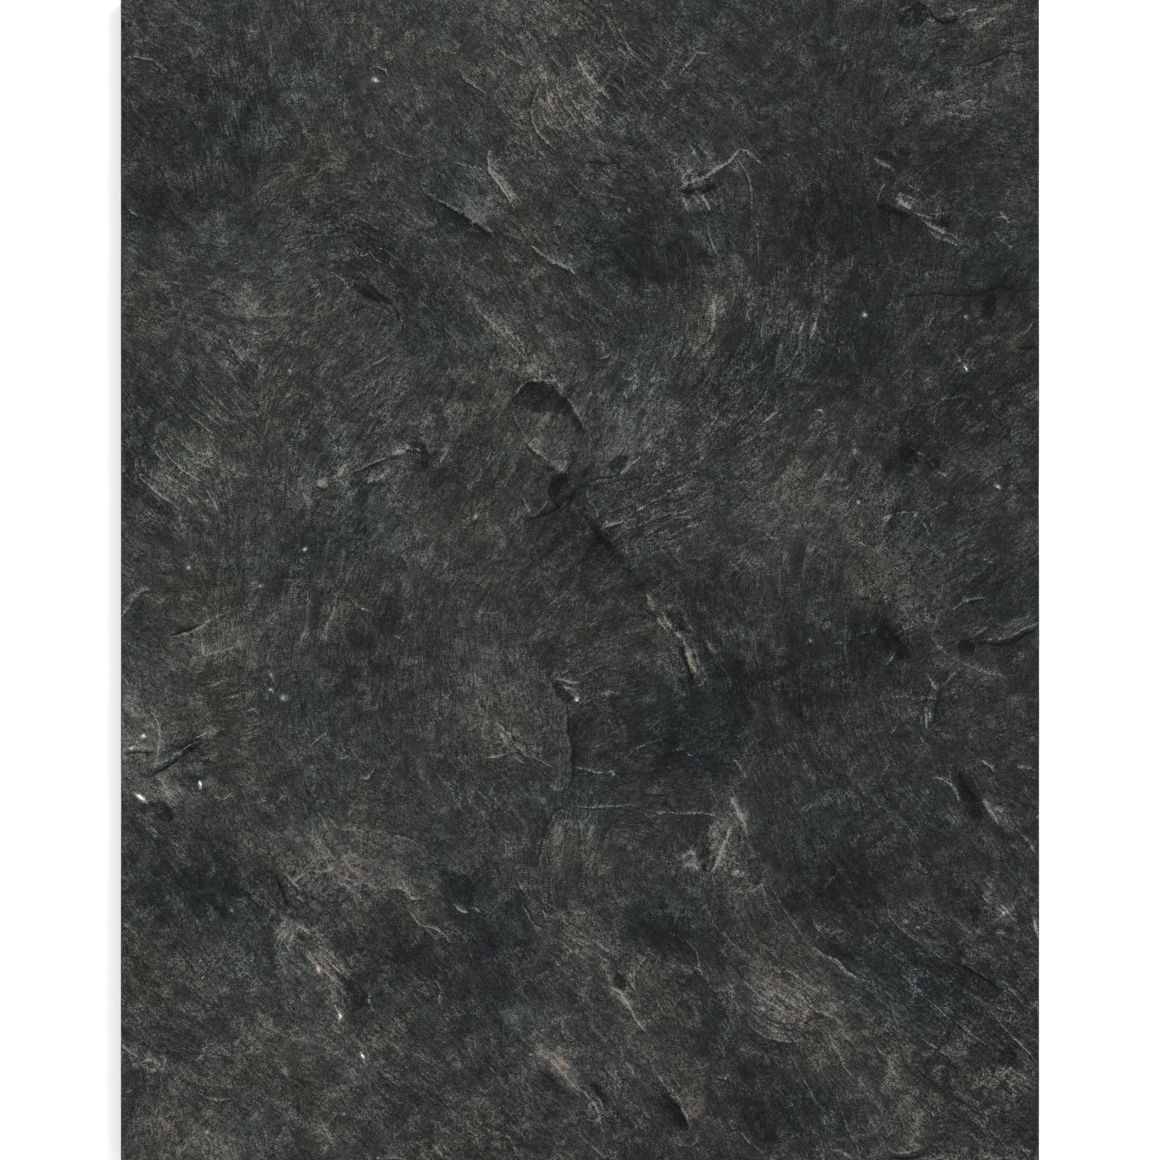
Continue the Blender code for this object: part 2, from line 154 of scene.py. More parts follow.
# Ridges, and grooves where the height is negative: height, half width, line.
RIDGES = {
    "spine": (1.5, 4.0, [(18, -264), (27, -271), (33, -281), (39, -291), (46, -302)]),
    "crumbled_crest": (1.5, 4.0, [(-174, 62), (-163, 64), (-152, 69), (-140, 76),
                                  (-124, 82), (-106, 85)]),
    "slip_crumble": (1.4, 5.0, [(46, -10), (53, -24), (61, -36), (69, -47), (73, -60)]),
    "star_crest": (1.4, 4.0, [(99, -144), (107, -158), (99, -168), (91, -180),
                              (84, -194)]),
    "left_ripple_outer": (0.8, 4.0, [(-293, 80), (-289, 69), (-278, 57), (-262, 45)]),
    "left_ripple_mid": (0.7, 3.5, [(-289, 84), (-282, 72), (-268, 62), (-254, 58)]),
    "left_ripple_inner": (0.7, 3.5, [(-274, 84), (-260, 74), (-243, 61)]),
    "left_ripple_top": (0.7, 3.5, [(-272, 104), (-256, 88), (-236, 80)]),
    "left_spur": (1.0, 3.5, [(-232, 163), (-226, 152), (-218, 140)]),
    "right_crumble": (1.2, 4.0, [(233, -61), (228, -72), (226, -86), (223, -99)]),
    "fan_rim": (0.8, 4.0, [(-27, 337), (-32, 318), (-31, 300), (-20, 284)]),
    "fan_rib": (0.6, 3.5, [(-2, 346), (4, 331), (13, 320), (22, 311)]),
    "patch_crest": (1.3, 5.0, [(-194, -194), (-180, -188), (-164, -187), (-148, -190)]),
    "patch_tail": (1.0, 4.0, [(-130, -198), (-118, -203), (-108, -209), (-98, -207)]),
    "left_blob": (1.3, 4.5, [(-287, -314), (-279, -317), (-270, -314)]),
    "drift_streak": (0.6, 3.5, [(-183, -243), (-168, -253), (-153, -266)]),
    "sliver_groove": (-1.7, 4.5, [(-162, 202), (-152, 191), (-140, 184), (-118, 181)]),
    "star_slit": (-2.3, 3.5, [(83, -168), (81, -180), (81, -192), (80, -204)]),
    "right_gash": (-2.3, 6.0, [(242, -119), (249, -133), (256, -145), (265, -158)]),
    "right_star": (-2.0, 5.0, [(198, -12), (196, -26), (202, -36), (213, -49)]),
    "right_star_arm": (-1.2, 4.5, [(180, -40), (192, -38), (204, -39)]),
    "edge_crack": (-0.9, 2.5, [(214, 185), (235, 188), (262, 186), (282, 189), (300, 187)]),
    "left_crack": (-1.2, 3.0, [(-284, -130), (-272, -122), (-258, -114), (-240, -108)]),
    "hook_groove": (-1.6, 3.5, [(64, 251), (76, 253), (90, 256)]),
    "lower_crack_one": (-0.8, 3.0, [(243, -250), (260, -259), (278, -267)]),
    "top_crack": (-0.9, 2.5, [(228, 373), (237, 364), (251, 370)]),
}

# Pits where a flake has come out: centre, half length, half width, angle, depth.
PITS = {
    "crescent_floor": ((-23, 117), 17, 8, 172, 0.9),
    "keyhole": ((-11, 58), 12, 9, 70, 2.3),
    "crest_end": ((-102, 77), 8, 6, 80, 1.4),
    "hook_pocket": ((80, 262), 6, 4, 20, 1.0),
    "upper_pocket": ((234, 235), 8, 5, 150, 1.6),
    "top_hollow": ((218, 371), 10, 8, 100, 1.5),
    "right_bite": ((214, 83), 10, 7, 160, 1.4),
    "right_pan": ((209, 53), 12, 9, 20, 0.8),
    "patch_pocket": ((-77, -202), 13, 7, 92, 1.6),
    "lower_pocket": ((-147, -272), 11, 8, 120, 1.4),
    "slip_pocket": ((61, -29), 10, 5, 115, 1.3),
    "spine_pocket": ((26, -260), 8, 6, 110, 1.0),
    "stair_pocket": ((-13, -71), 6, 4, 110, 1.0),
    "shell_pocket": ((154, -300), 9, 6, 10, 0.9),
    "left_pocket": ((-273, -150), 11, 7, 130, 1.1),
    "shelf_pocket": ((251, -44), 7, 5, 0, 0.9),
}

# ---------------------------------------------------------------------------------------
# The grain: the direction of the fine streaks, judged to the nearest 10 degrees.

GRAIN = [
    # Top left.
    ((-280, 350), 150), ((-280, 290), 130), ((-210, 330), 100), ((-150, 310), 110),
    ((-230, 270), 100), ((-120, 290), 130), ((-190, 240), 30), ((-170, 240), 10),
    ((-130, 220), 140), ((-190, 200), 40), ((-280, 210), 150), ((-250, 180), 160),
    ((-260, 130), 130), ((-230, 110), 140), ((-290, 90), 110), ((-260, 60), 140),
    ((-220, 60), 100), ((-190, 110), 60), ((-140, 130), 50), ((-140, 60), 50),
    ((-200, 10), 80), ((-130, 10), 70),
    # Top middle.
    ((-70, 330), 130), ((-30, 300), 120), ((0, 320), 130), ((40, 340), 140),
    ((-60, 240), 130), ((40, 250), 150), ((-80, 200), 130), ((-20, 180), 120),
    ((30, 190), 130), ((80, 220), 110), ((80, 180), 80), ((50, 140), 60),
    ((-70, 100), 60), ((-50, 50), 60), ((30, 100), 60), ((50, 50), 20),
    ((90, 50), 30), ((-10, 20), 50),
    # Top right.
    ((110, 350), 140), ((150, 300), 140), ((180, 330), 80), ((220, 310), 40),
    ((270, 350), 10), ((280, 300), 170), ((110, 240), 110), ((160, 230), 100),
    ((110, 180), 80), ((160, 180), 80), ((120, 120), 50), ((200, 190), 80),
    ((240, 150), 50), ((280, 110), 40), ((170, 60), 60), ((250, 30), 40),
    ((190, 0), 80),
    # Bottom left.
    ((-280, -20), 150), ((-290, -90), 120), ((-250, -100), 20), ((-200, -40), 80),
    ((-130, -70), 90), ((-230, -160), 130), ((-170, -150), 120), ((-130, -160), 160),
    ((-250, -250), 130), ((-160, -250), 130), ((-250, -320), 150), ((-280, -350), 90),
    ((-150, -330), 140),
    # Bottom middle.
    ((-60, -80), 100), ((20, -50), 20), ((80, -50), 110), ((50, -100), 30),
    ((-60, -150), 130), ((-10, -170), 80), ((50, -140), 170), ((80, -180), 80),
    ((-60, -250), 130), ((20, -240), 140), ((-50, -330), 140), ((50, -320), 120),
    # Bottom right.
    ((150, -30), 90), ((280, -40), 30), ((150, -150), 120), ((230, -150), 130),
    ((280, -180), 130), ((110, -210), 120), ((140, -260), 140), ((200, -270), 140),
    ((260, -280), 140), ((160, -340), 120), ((240, -350), 140),
]
GRAIN_REACH = 34.0

# ---------------------------------------------------------------------------------------
# Tone patches: centre, half length, half width, angle, tone, warmth, crumble. Tone is in
# natural log units about the mean, warmth runs from blue-black to beige, and crumble is
# how much the surface breaks up into bright and dark flecks.

PATCHES = [
    # Pale ground.
    ((-18, 321), 40, 26, 120, 0.13, 0.22, 0.1), ((-5, 314), 26, 18, 120, 0.06, 0.20, 0.0),
    ((-58, 380), 36, 14, 0, 0.20, 0.10, 0.2), ((-38, 124), 40, 20, 130, 0.15, 0.20, 0.2),
    ((41, 98), 36, 20, 5, 0.22, 0.36, 0.1), ((-41, 154), 34, 8, 130, 0.06, 0.30, 0.6),
    ((-28, 85), 20, 14, 60, 0.18, 0.20, 0.3), ((90, 272), 14, 8, 30, 0.20, 0.10, 0.4),
    ((93, 183), 16, 34, 160, 0.22, 0.28, 0.4), ((148, 46), 56, 26, 15, 0.25, 0.24, 0.4),
    ((211, 3), 26, 24, 0, 0.15, 0.18, 0.6), ((-218, 177), 22, 18, 0, 0.20, 0.25, 0.3),
    ((-254, 66), 44, 24, 145, 0.10, 0.26, 0.3), ((-176, 59), 16, 10, 30, 0.14, 0.20, 0.4),
    ((-117, 33), 26, 20, 60, 0.12, 0.05, 0.2), ((-58, -72), 34, 24, 120, 0.17, 0.10, 0.1),
    ((-244, -43), 30, 16, 20, 0.20, 0.25, 0.1), ((-290, -102), 22, 36, 0, 0.27, 0.36, 0.3),
    ((-150, -184), 48, 20, 170, 0.25, 0.36, 0.6), ((90, -183), 22, 18, 60, 0.26, 0.15, 0.9),
    ((-7, -174), 12, 26, 75, 0.24, 0.20, 0.2), ((5, -233), 28, 16, 150, 0.22, 0.20, 0.4),
    ((36, -290), 36, 20, 120, 0.19, 0.32, 0.2), ((-12, -308), 26, 20, 130, 0.18, 0.22, 0.2),
    ((138, -274), 42, 24, 155, 0.35, 0.40, 0.1), ((73, -341), 16, 22, 30, 0.14, 0.25, 0.1),
    ((-192, -305), 44, 18, 0, 0.14, 0.30, 0.2), ((-172, -249), 22, 12, 140, 0.28, 0.25, 0.6),
    ((-251, -367), 44, 20, 0, 0.24, 0.30, 0.5), ((72, -50), 10, 16, 30, 0.22, 0.20, 0.9),
    ((217, 249), 16, 7, 150, 0.24, 0.10, 0.8), ((244, 223), 18, 8, 150, 0.16, 0.10, 0.8),
    ((257, 321), 40, 16, 10, 0.18, 0.25, 0.3), ((262, 368), 24, 12, 0, 0.20, 0.20, 0.7),
    ((212, -345), 16, 40, 0, 0.26, 0.32, 0.1), ((262, -352), 30, 16, 20, 0.02, 0.20, 0.3),
    ((182, -330), 34, 22, 120, 0.12, 0.15, 0.0),
    # Crumbled ground, where many small chips have come away.
    ((229, -82), 8, 22, 0, 0.06, 0.05, 1.2), ((196, -6), 12, 12, 0, 0.06, 0.10, 1.1),
    ((217, -30), 22, 10, 30, 0.05, 0.05, 1.1), ((76, 262), 16, 18, 0, 0.05, 0.10, 1.0),
    ((2, -70), 14, 9, 0, 0.02, 0.00, 1.0), ((-45, -106), 22, 14, 150, 0.02, 0.05, 1.1),
    ((2, 222), 12, 20, 20, 0.02, 0.00, 1.0), ((-36, 230), 14, 9, 150, 0.06, 0.10, 1.0),
    ((75, 342), 16, 10, 40, 0.00, 0.00, 1.1), ((45, 122), 14, 20, 150, 0.02, 0.00, 0.9),
    ((268, -328), 22, 12, 160, 0.04, 0.10, 1.0), ((-168, -200), 30, 10, 0, 0.02, 0.05, 1.1),
    ((104, -152), 8, 16, 25, 0.08, 0.10, 0.9), ((62, -32), 22, 9, 120, 0.06, 0.05, 1.1),
    ((204, 34), 28, 14, 150, 0.03, 0.05, 1.0), ((156, 168), 9, 20, 10, 0.04, 0.00, 0.9),
    ((-263, -118), 32, 10, 25, 0.04, 0.05, 1.0), ((-130, 76), 34, 9, 25, 0.04, 0.05, 1.0),
    ((274, -216), 22, 14, 140, 0.05, 0.10, 1.1), ((225, 320), 40, 16, 10, 0.03, 0.05, 0.9),
    ((262, -372), 34, 10, 0, 0.05, 0.10, 1.0), ((8, -344), 10, 20, 20, 0.05, 0.10, 0.9),
    # Dark ground.
    ((-241, 300), 50, 52, 0, -0.22, -0.14, 0.1), ((-274, 242), 20, 14, 0, -0.30, -0.20, 0.1),
    ((-126, 208), 46, 15, 140, -0.26, -0.20, 0.1), ((39, 217), 44, 18, 165, -0.34, -0.25, 0.1),
    ((162, 231), 30, 26, 0, -0.26, -0.14, 0.1), ((216, 262), 60, 70, 0, -0.14, 0.00, 0.2),
    ((103, 134), 24, 18, 50, -0.24, -0.20, 0.2), ((175, 151), 26, 20, 0, -0.22, -0.05, 0.1),
    ((232, 94), 44, 18, 30, -0.32, -0.26, 0.3), ((272, 186), 26, 16, 0, -0.26, 0.05, 0.2),
    ((270, -4), 24, 12, 0, -0.26, 0.00, 0.2), ((-6, 30), 26, 20, 140, -0.24, -0.25, 0.1),
    ((73, -7), 24, 14, 0, -0.22, -0.20, 0.1), ((124, -70), 44, 16, 175, -0.38, -0.15, 0.1),
    ((187, -50), 26, 14, 0, -0.28, 0.00, 0.3), ((56, -106), 40, 22, 0, -0.30, -0.20, 0.2),
    ((172, -200), 30, 16, 10, -0.34, -0.10, 0.1), ((-254, -196), 46, 20, 0, -0.34, -0.20, 0.1),
    ((-62, -252), 26, 44, 160, -0.24, -0.40, 0.1), ((-123, -242), 22, 20, 0, -0.26, -0.20, 0.1),
    ((54, -226), 22, 14, 0, -0.26, -0.15, 0.1), ((237, -262), 50, 18, 150, -0.15, 0.10, 0.1),
    ((118, -343), 22, 16, 20, -0.30, -0.15, 0.1), ((-138, -48), 34, 18, 30, -0.22, -0.20, 0.1),
    ((-168, 20), 26, 20, 60, -0.16, -0.10, 0.1), ((-77, 72), 14, 12, 60, -0.22, -0.15, 0.3),
    ((-267, 124), 24, 12, 160, -0.22, -0.10, 0.1), ((-292, 90), 10, 34, 0, -0.20, -0.05, 0.1),
    # Hollows and the feet of breaks that read as black: partly darker stone, partly painted shade.
    ((-23, 118), 17, 7, 172, -0.25, -0.30, 0.0), ((-11, 57), 10, 10, 70, -0.31, -0.20, 0.2),
    ((-102, 78), 4, 8, 0, -0.25, -0.10, 0.0), ((234, 235), 7, 4, 150, -0.25, 0.00, 0.2),
    ((218, 371), 9, 8, 0, -0.25, -0.10, 0.2), ((214, 83), 9, 5, 160, -0.20, 0.00, 0.4),
    ((209, 53), 12, 8, 20, -0.13, -0.20, 0.1), ((-77, -202), 7, 12, 0, -0.20, -0.20, 0.1),
    ((-147, -273), 8, 9, 30, -0.28, -0.10, 0.1), ((-272, -151), 10, 7, 140, -0.23, -0.10, 0.2),
    ((251, -45), 7, 5, 0, -0.20, 0.00, 0.0), ((199, -38), 14, 7, 150, -0.20, -0.10, 0.1),
    ((254, -141), 16, 5, 118, -0.28, 0.00, 0.0), ((64, -346), 15, 5, 122, -0.25, -0.10, 0.0),
    ((-140, 186), 24, 5, 160, -0.18, -0.20, 0.0), ((11, 31), 18, 4, 128, -0.28, -0.10, 0.0),
    ((-71, 234), 26, 5, 145, -0.15, -0.10, 0.0), ((12, -334), 12, 5, 130, -0.17, -0.10, 0.1),
    ((76, 254), 13, 3, 5, -0.30, -0.10, 0.0), ((-68, 185), 10, 4, 140, -0.20, -0.20, 0.0),
]

# The patches' ragged outlines: cell, shift, seed; and feathered along the grain.
PATCH_WARP = [(30.0, 6.0, 61), (11.0, 3.0, 62)]
FEATHER_CELL, FEATHER_REACH, FEATHER_SHIFT = 3.6, 9.0, 9.0
FEATHER_SEED = 64
PATCH_FALL = 0.9
BASE_CRUMBLE, MOST_CRUMBLE = 0.15, 1.2

# Where the face is drawn in long fine streaks: centre, half length, half width, angle, share.
STREAKY = [
    ((0, 325), 60, 50, 120, 1.0), ((-268, 75), 50, 34, 145, 0.9), ((-225, 150), 34, 20, 115, 0.8),
    ((-140, 215), 70, 30, 135, 0.7), ((-50, 230), 90, 40, 130, 0.5), ((95, 130), 80, 50, 50, 1.0),
    ((45, 50), 60, 22, 25, 1.0), ((250, -300), 80, 80, 140, 1.0), ((180, -350), 50, 60, 130, 0.6),
    ((-250, -280), 70, 80, 135, 0.7), ((-175, -235), 40, 24, 140, 1.0),
    ((-250, 330), 60, 60, 110, 0.4), ((130, -275), 46, 30, 150, 0.9), ((60, -260), 60, 40, 130, 0.5),
    ((-100, -340), 80, 50, 135, 0.8), ((30, -350), 60, 40, 130, 0.6), ((270, 120), 40, 60, 40, 0.7),
    ((-150, 100), 60, 50, 50, 0.6), ((180, -150), 80, 40, 125, 0.5), ((-45, 160), 50, 20, 130, 0.7),
    ((-60, -150), 60, 30, 130, 0.5), ((250, 350), 50, 30, 15, 0.5),
]
STREAKY_FLOOR = 0.15
STREAKY_FALL = 0.8

# The face darkens a little from left to right, in log tone, and loses its green lean.
ACROSS_TONE, ACROSS_REACH = -0.070, 100.0
ACROSS_WARMTH = 0.10
ACROSS_GREEN = 0.010

# ---------------------------------------------------------------------------------------
# Fine lines, by region: pale strength, painted shadow strength, half width and the line.
# Walked from first to last point, the painted shadow lies on the right. A negative strength is a crack.

LINES_TOP_LEFT = [
    (0.8, 0.2, 0.9, [(-300, 341), (-290, 342), (-280, 340), (-273, 336), (-268, 331)]),
    (0.4, 0.0, 0.7, [(-292, 350), (-286, 347), (-281, 342)]),
    (0.45, 0.1, 0.7, [(-280, 361), (-268, 362), (-260, 365)]),
    (0.3, 0.0, 0.6, [(-289, 369), (-285, 367), (-279, 366)]),
    (0.55, 0.2, 0.7, [(-134, 288), (-126, 283), (-118, 280), (-105, 276)]),
    (0.8, 0.1, 1.0, [(-296, 242), (-292, 239), (-288, 235)]),
    (0.5, 0.1, 0.8, [(-197, 290), (-190, 285)]),
    (0.25, 0.1, 0.7, [(-184, 256), (-180, 252), (-176, 246), (-171, 241)]),
    (0.5, 0.1, 0.8, [(-118, 249), (-114, 244)]),
    (0.4, 0.1, 0.7, [(-142, 260), (-137, 255)]),
    (0.5, 0.1, 0.8, [(-104, 246), (-100, 238)]),
    (0.35, 0.1, 0.7, [(-276, 303), (-269, 307), (-261, 308)]),
    (0.3, 0.1, 0.7, [(-272, 303), (-264, 299)]),
    (0.5, 0.3, 0.9, [(-152, 241), (-143, 236), (-136, 232), (-129, 228), (-118, 221)]),
    (0.3, 0.3, 0.8, [(-176, 226), (-165, 229), (-155, 231), (-147, 235)]),
    (0.3, 0.2, 0.7, [(-186, 221), (-174, 224), (-160, 224), (-148, 228)]),
    (0.25, 0.2, 0.7, [(-190, 232), (-176, 235), (-162, 239), (-150, 246)]),
    (0.45, 0.3, 0.8, [(-152, 218), (-147, 214), (-142, 211), (-137, 214), (-134, 208), (-124, 203)]),
    (0.45, 0.3, 0.8, [(-134, 218), (-127, 216), (-124, 211), (-125, 206), (-119, 199)]),
    (0.3, 0.2, 0.7, [(-173, 208), (-166, 206), (-160, 210), (-156, 206)]),
    (0.35, 0.2, 0.7, [(-187, 218), (-181, 213), (-184, 208)]),
    (0.9, 0.1, 0.9, [(-162, 201), (-155, 196), (-150, 190)]),
    (0.3, 0.1, 0.6, [(-277, 194), (-268, 195), (-255, 193)]),
    (0.35, 0.0, 0.7, [(-253, 235), (-249, 230)]),
    (0.7, 0.3, 0.8, [(-138, 333), (-133, 335), (-127, 333), (-125, 328), (-129, 325)]),
    (0.35, 0.1, 1.4, [(-202, 339), (-203, 332), (-201, 324)]),
    (0.35, 0.1, 0.8, [(-220, 361), (-215, 358), (-210, 358)]),
    (0.3, 0.1, 0.7, [(-115, 335), (-109, 325), (-104, 313), (-101, 300)]),
    (0.3, 0.1, 0.7, [(-152, 356), (-150, 348), (-150, 340)]),
]
LINES_TOP_MIDDLE = [
    (1.0, 0.6, 1.8, [(-93, 248), (-86, 244), (-78, 240), (-70, 235), (-62, 229), (-55, 225)]),
    (1.1, 0.3, 1.5, [(-33, 220), (-25, 213), (-18, 209), (-10, 205), (-5, 201), (-1, 196)]),
    (0.35, 0.3, 0.8, [(-47, 237), (-40, 230), (-35, 224), (-30, 218)]),
    (0.9, 0.3, 0.9, [(-57, 286), (-60, 277), (-59, 269), (-56, 262), (-50, 253), (-41, 240)]),
    (0.7, 0.0, 1.4, [(-55, 266), (-51, 260), (-47, 253), (-44, 248)]),
    (0.4, 0.1, 0.7, [(-84, 274), (-72, 270), (-62, 268)]),
    (0.4, 0.2, 0.9, [(-26, 335), (-25, 328), (-30, 318), (-33, 310), (-32, 302)]),
    (0.9, 0.3, 0.9, [(-33, 308), (-31, 299), (-28, 293), (-22, 286), (-15, 279)]),
    (0.4, 0.2, 0.8, [(-24, 332), (-22, 322), (-18, 314), (-14, 308), (-8, 300)]),
    (0.35, 0.2, 0.8, [(-28, 316), (-26, 305), (-20, 296), (-12, 288), (-6, 284)]),
    (0.4, 0.2, 0.8, [(-17, 326), (-14, 317), (-9, 308), (-3, 300), (4, 294)]),
    (0.45, 0.2, 0.8, [(-8, 318), (-3, 309), (2, 304), (10, 299)]),
    (1.0, 0.3, 1.1, [(-3, 346), (-1, 339), (3, 331), (8, 325), (14, 319), (21, 313)]),
    (0.5, 0.0, 0.8, [(-4, 340), (0, 332), (5, 325), (11, 317)]),
    (0.35, 0.2, 0.8, [(12, 330), (18, 326), (24, 322), (29, 317)]),
    (0.4, 0.2, 0.7, [(8, 350), (14, 345), (20, 340)]),
    (0.45, 0.2, 0.8, [(19, 380), (23, 366), (27, 356), (30, 348)]),
    (0.35, 0.2, 0.7, [(11, 378), (17, 366), (22, 355)]),
    (0.8, 0.2, 0.9, [(29, 352), (31, 346), (34, 340)]),
    (0.35, 0.2, 0.8, [(38, 341), (45, 334)]),
    (0.4, 0.2, 0.8, [(25, 330), (29, 326), (29, 319)]),
    (0.3, 0.2, 0.7, [(33, 330), (42, 324), (52, 316), (62, 309), (74, 302), (84, 292)]),
    (0.6, 0.4, 0.9, [(-79, 334), (-77, 329), (-72, 325), (-66, 321), (-59, 317)]),
    (0.5, 0.1, 0.7, [(-91, 346), (-84, 344), (-76, 343)]),
    (0.45, 0.2, 0.8, [(-57, 348), (-48, 343), (-42, 340), (-33, 333)]),
    (-0.6, 0.0, 1.2, [(-1, 270), (8, 272), (14, 271), (28, 271)]),
    (0.35, 0.2, 0.7, [(20, 271), (29, 270), (36, 265), (41, 259)]),
    (0.55, 0.2, 0.8, [(4, 257), (10, 253), (15, 252), (20, 251), (26, 250), (30, 245), (34, 236)]),
    (0.8, 0.0, 1.6, [(72, 284), (73, 279), (76, 277)]),
    (0.5, 0.0, 0.7, [(77, 285), (82, 279), (87, 277)]),
    (1.2, 0.1, 1.3, [(65, 256), (72, 259), (79, 262), (88, 268), (96, 272), (105, 281)]),
    (1.0, 0.0, 1.5, [(67, 261), (70, 266), (75, 269)]),
    (0.9, 0.2, 0.9, [(104, 281), (109, 279), (113, 275), (119, 270)]),
    (0.9, 0.0, 1.5, [(67, 251), (69, 246), (70, 241)]),
    (0.7, 0.0, 1.3, [(73, 252), (76, 249), (79, 244)]),
    (1.1, 0.0, 1.3, [(80, 253), (82, 247), (84, 242)]),
    (0.5, 0.0, 0.6, [(86, 250), (89, 245)]),
    (0.4, 0.2, 0.7, [(80, 237), (84, 227), (88, 216), (90, 204)]),
    (0.8, 0.2, 0.9, [(64, 331), (70, 337), (77, 345)]),
    (0.6, 0.1, 0.8, [(72, 349), (76, 344), (84, 343)]),
    (0.45, 0.1, 0.8, [(61, 346), (66, 344)]),
    (0.4, 0.1, 0.7, [(88, 346), (95, 351)]),
    (0.6, 0.2, 1.2, [(53, 326), (56, 321), (63, 320)]),
    (0.5, 0.1, 0.8, [(-22, 335), (-24, 322), (-20, 310), (-12, 298), (-4, 288)]),
    (0.4, 0.1, 0.7, [(-14, 332), (-16, 320), (-10, 308), (0, 298)]),
    (0.4, 0.1, 0.7, [(-8, 326), (-6, 314), (2, 304), (12, 298)]),
    (0.35, 0.1, 0.7, [(6, 318), (14, 308), (24, 300)]),
    (0.3, 0.1, 0.7, [(-18, 300), (-12, 290), (-4, 282)]),
]
LINES_TOP_RIGHT = [
    (0.75, 0.3, 0.7, [(103, 276), (108, 266), (111, 258), (113, 248), (112, 240), (113, 232)]),
    (0.5, 0.2, 0.7, [(113, 234), (115, 222), (116, 212), (117, 201)]),
    (0.4, 0.1, 0.6, [(112, 236), (116, 233), (116, 225)]),
    (0.45, 0.1, 0.8, [(148, 251), (148, 245), (151, 242)]),
    (0.5, 0.1, 0.8, [(145, 241), (149, 238), (151, 233)]),
    (0.5, 0.1, 0.7, [(155, 219), (154, 210), (150, 205), (145, 199)]),
    (0.9, 0.0, 1.4, [(192, 275), (196, 272), (201, 271), (207, 267)]),
    (0.8, 0.1, 0.7, [(193, 245), (195, 252), (201, 259)]),
    (1.2, 0.0, 2.0, [(205, 248), (211, 246), (217, 243)]),
    (0.9, 0.0, 1.1, [(218, 241), (224, 239), (231, 236)]),
    (0.6, 0.0, 0.8, [(206, 251), (213, 252), (219, 249)]),
    (0.7, 0.0, 0.8, [(228, 240), (235, 238), (241, 239)]),
    (1.1, 0.3, 1.1, [(222, 236), (229, 231), (236, 228), (243, 226), (250, 222)]),
    (0.8, 0.2, 1.1, [(227, 229), (233, 224), (240, 222), (248, 219)]),
    (0.6, 0.1, 0.8, [(212, 261), (218, 257), (223, 254)]),
    (0.7, 0.1, 0.8, [(274, 241), (278, 236), (281, 233)]),
    (0.6, 0.1, 0.8, [(269, 229), (275, 222), (281, 217)]),
    (0.35, 0.1, 0.8, [(262, 222), (270, 213), (278, 208)]),
    (-1.1, 0.0, 1.3, [(227, 375), (231, 369), (236, 365), (241, 364), (250, 368)]),
    (0.7, 0.0, 0.8, [(209, 371), (213, 374), (216, 375)]),
    (0.55, 0.3, 0.8, [(258, 303), (248, 304), (240, 304)]),
    (0.3, 0.1, 0.7, [(250, 310), (257, 315), (262, 320)]),
    (-0.5, 0.0, 0.9, [(240, 310), (248, 311), (258, 316)]),
    (-0.7, 0.0, 1.0, [(255, 337), (268, 340), (280, 345), (290, 342)]),
    (0.45, 0.0, 0.8, [(263, 335), (270, 338), (276, 341)]),
    (0.6, 0.1, 0.8, [(221, 321), (224, 323)]),
    (0.5, 0.1, 0.8, [(222, 346), (223, 340)]),
    (0.45, 0.1, 1.0, [(130, 281), (136, 278), (142, 279)]),
    (0.4, 0.1, 0.9, [(163, 268), (166, 264)]),
    (0.45, 0.1, 1.0, [(236, 353), (242, 350)]),
    (0.6, 0.2, 1.0, [(247, 366), (254, 371), (262, 374)]),
    (0.5, 0.2, 0.8, [(258, 360), (266, 364), (272, 368)]),
    (0.5, 0.2, 0.9, [(188, 200), (190, 194), (191, 190)]),
    (0.4, 0.1, 0.9, [(137, 197), (141, 193)]),
    (-0.7, 0.0, 0.8, [(207, 184), (222, 185), (233, 188), (248, 186), (262, 187), (276, 190),
                      (288, 188), (300, 189)]),
    (0.5, 0.1, 0.8, [(240, 168), (246, 175), (254, 182)]),
    (0.4, 0.1, 0.7, [(225, 160), (231, 170), (238, 180)]),
    (0.4, 0.1, 0.7, [(258, 165), (266, 174), (273, 181)]),
    (0.4, 0.1, 0.7, [(270, 160), (278, 170), (286, 180), (292, 188)]),
    (0.6, 0.1, 0.8, [(285, 157), (292, 163), (298, 171)]),
    (-0.8, 0.0, 1.1, [(284, 151), (290, 150), (295, 152), (300, 150)]),
]
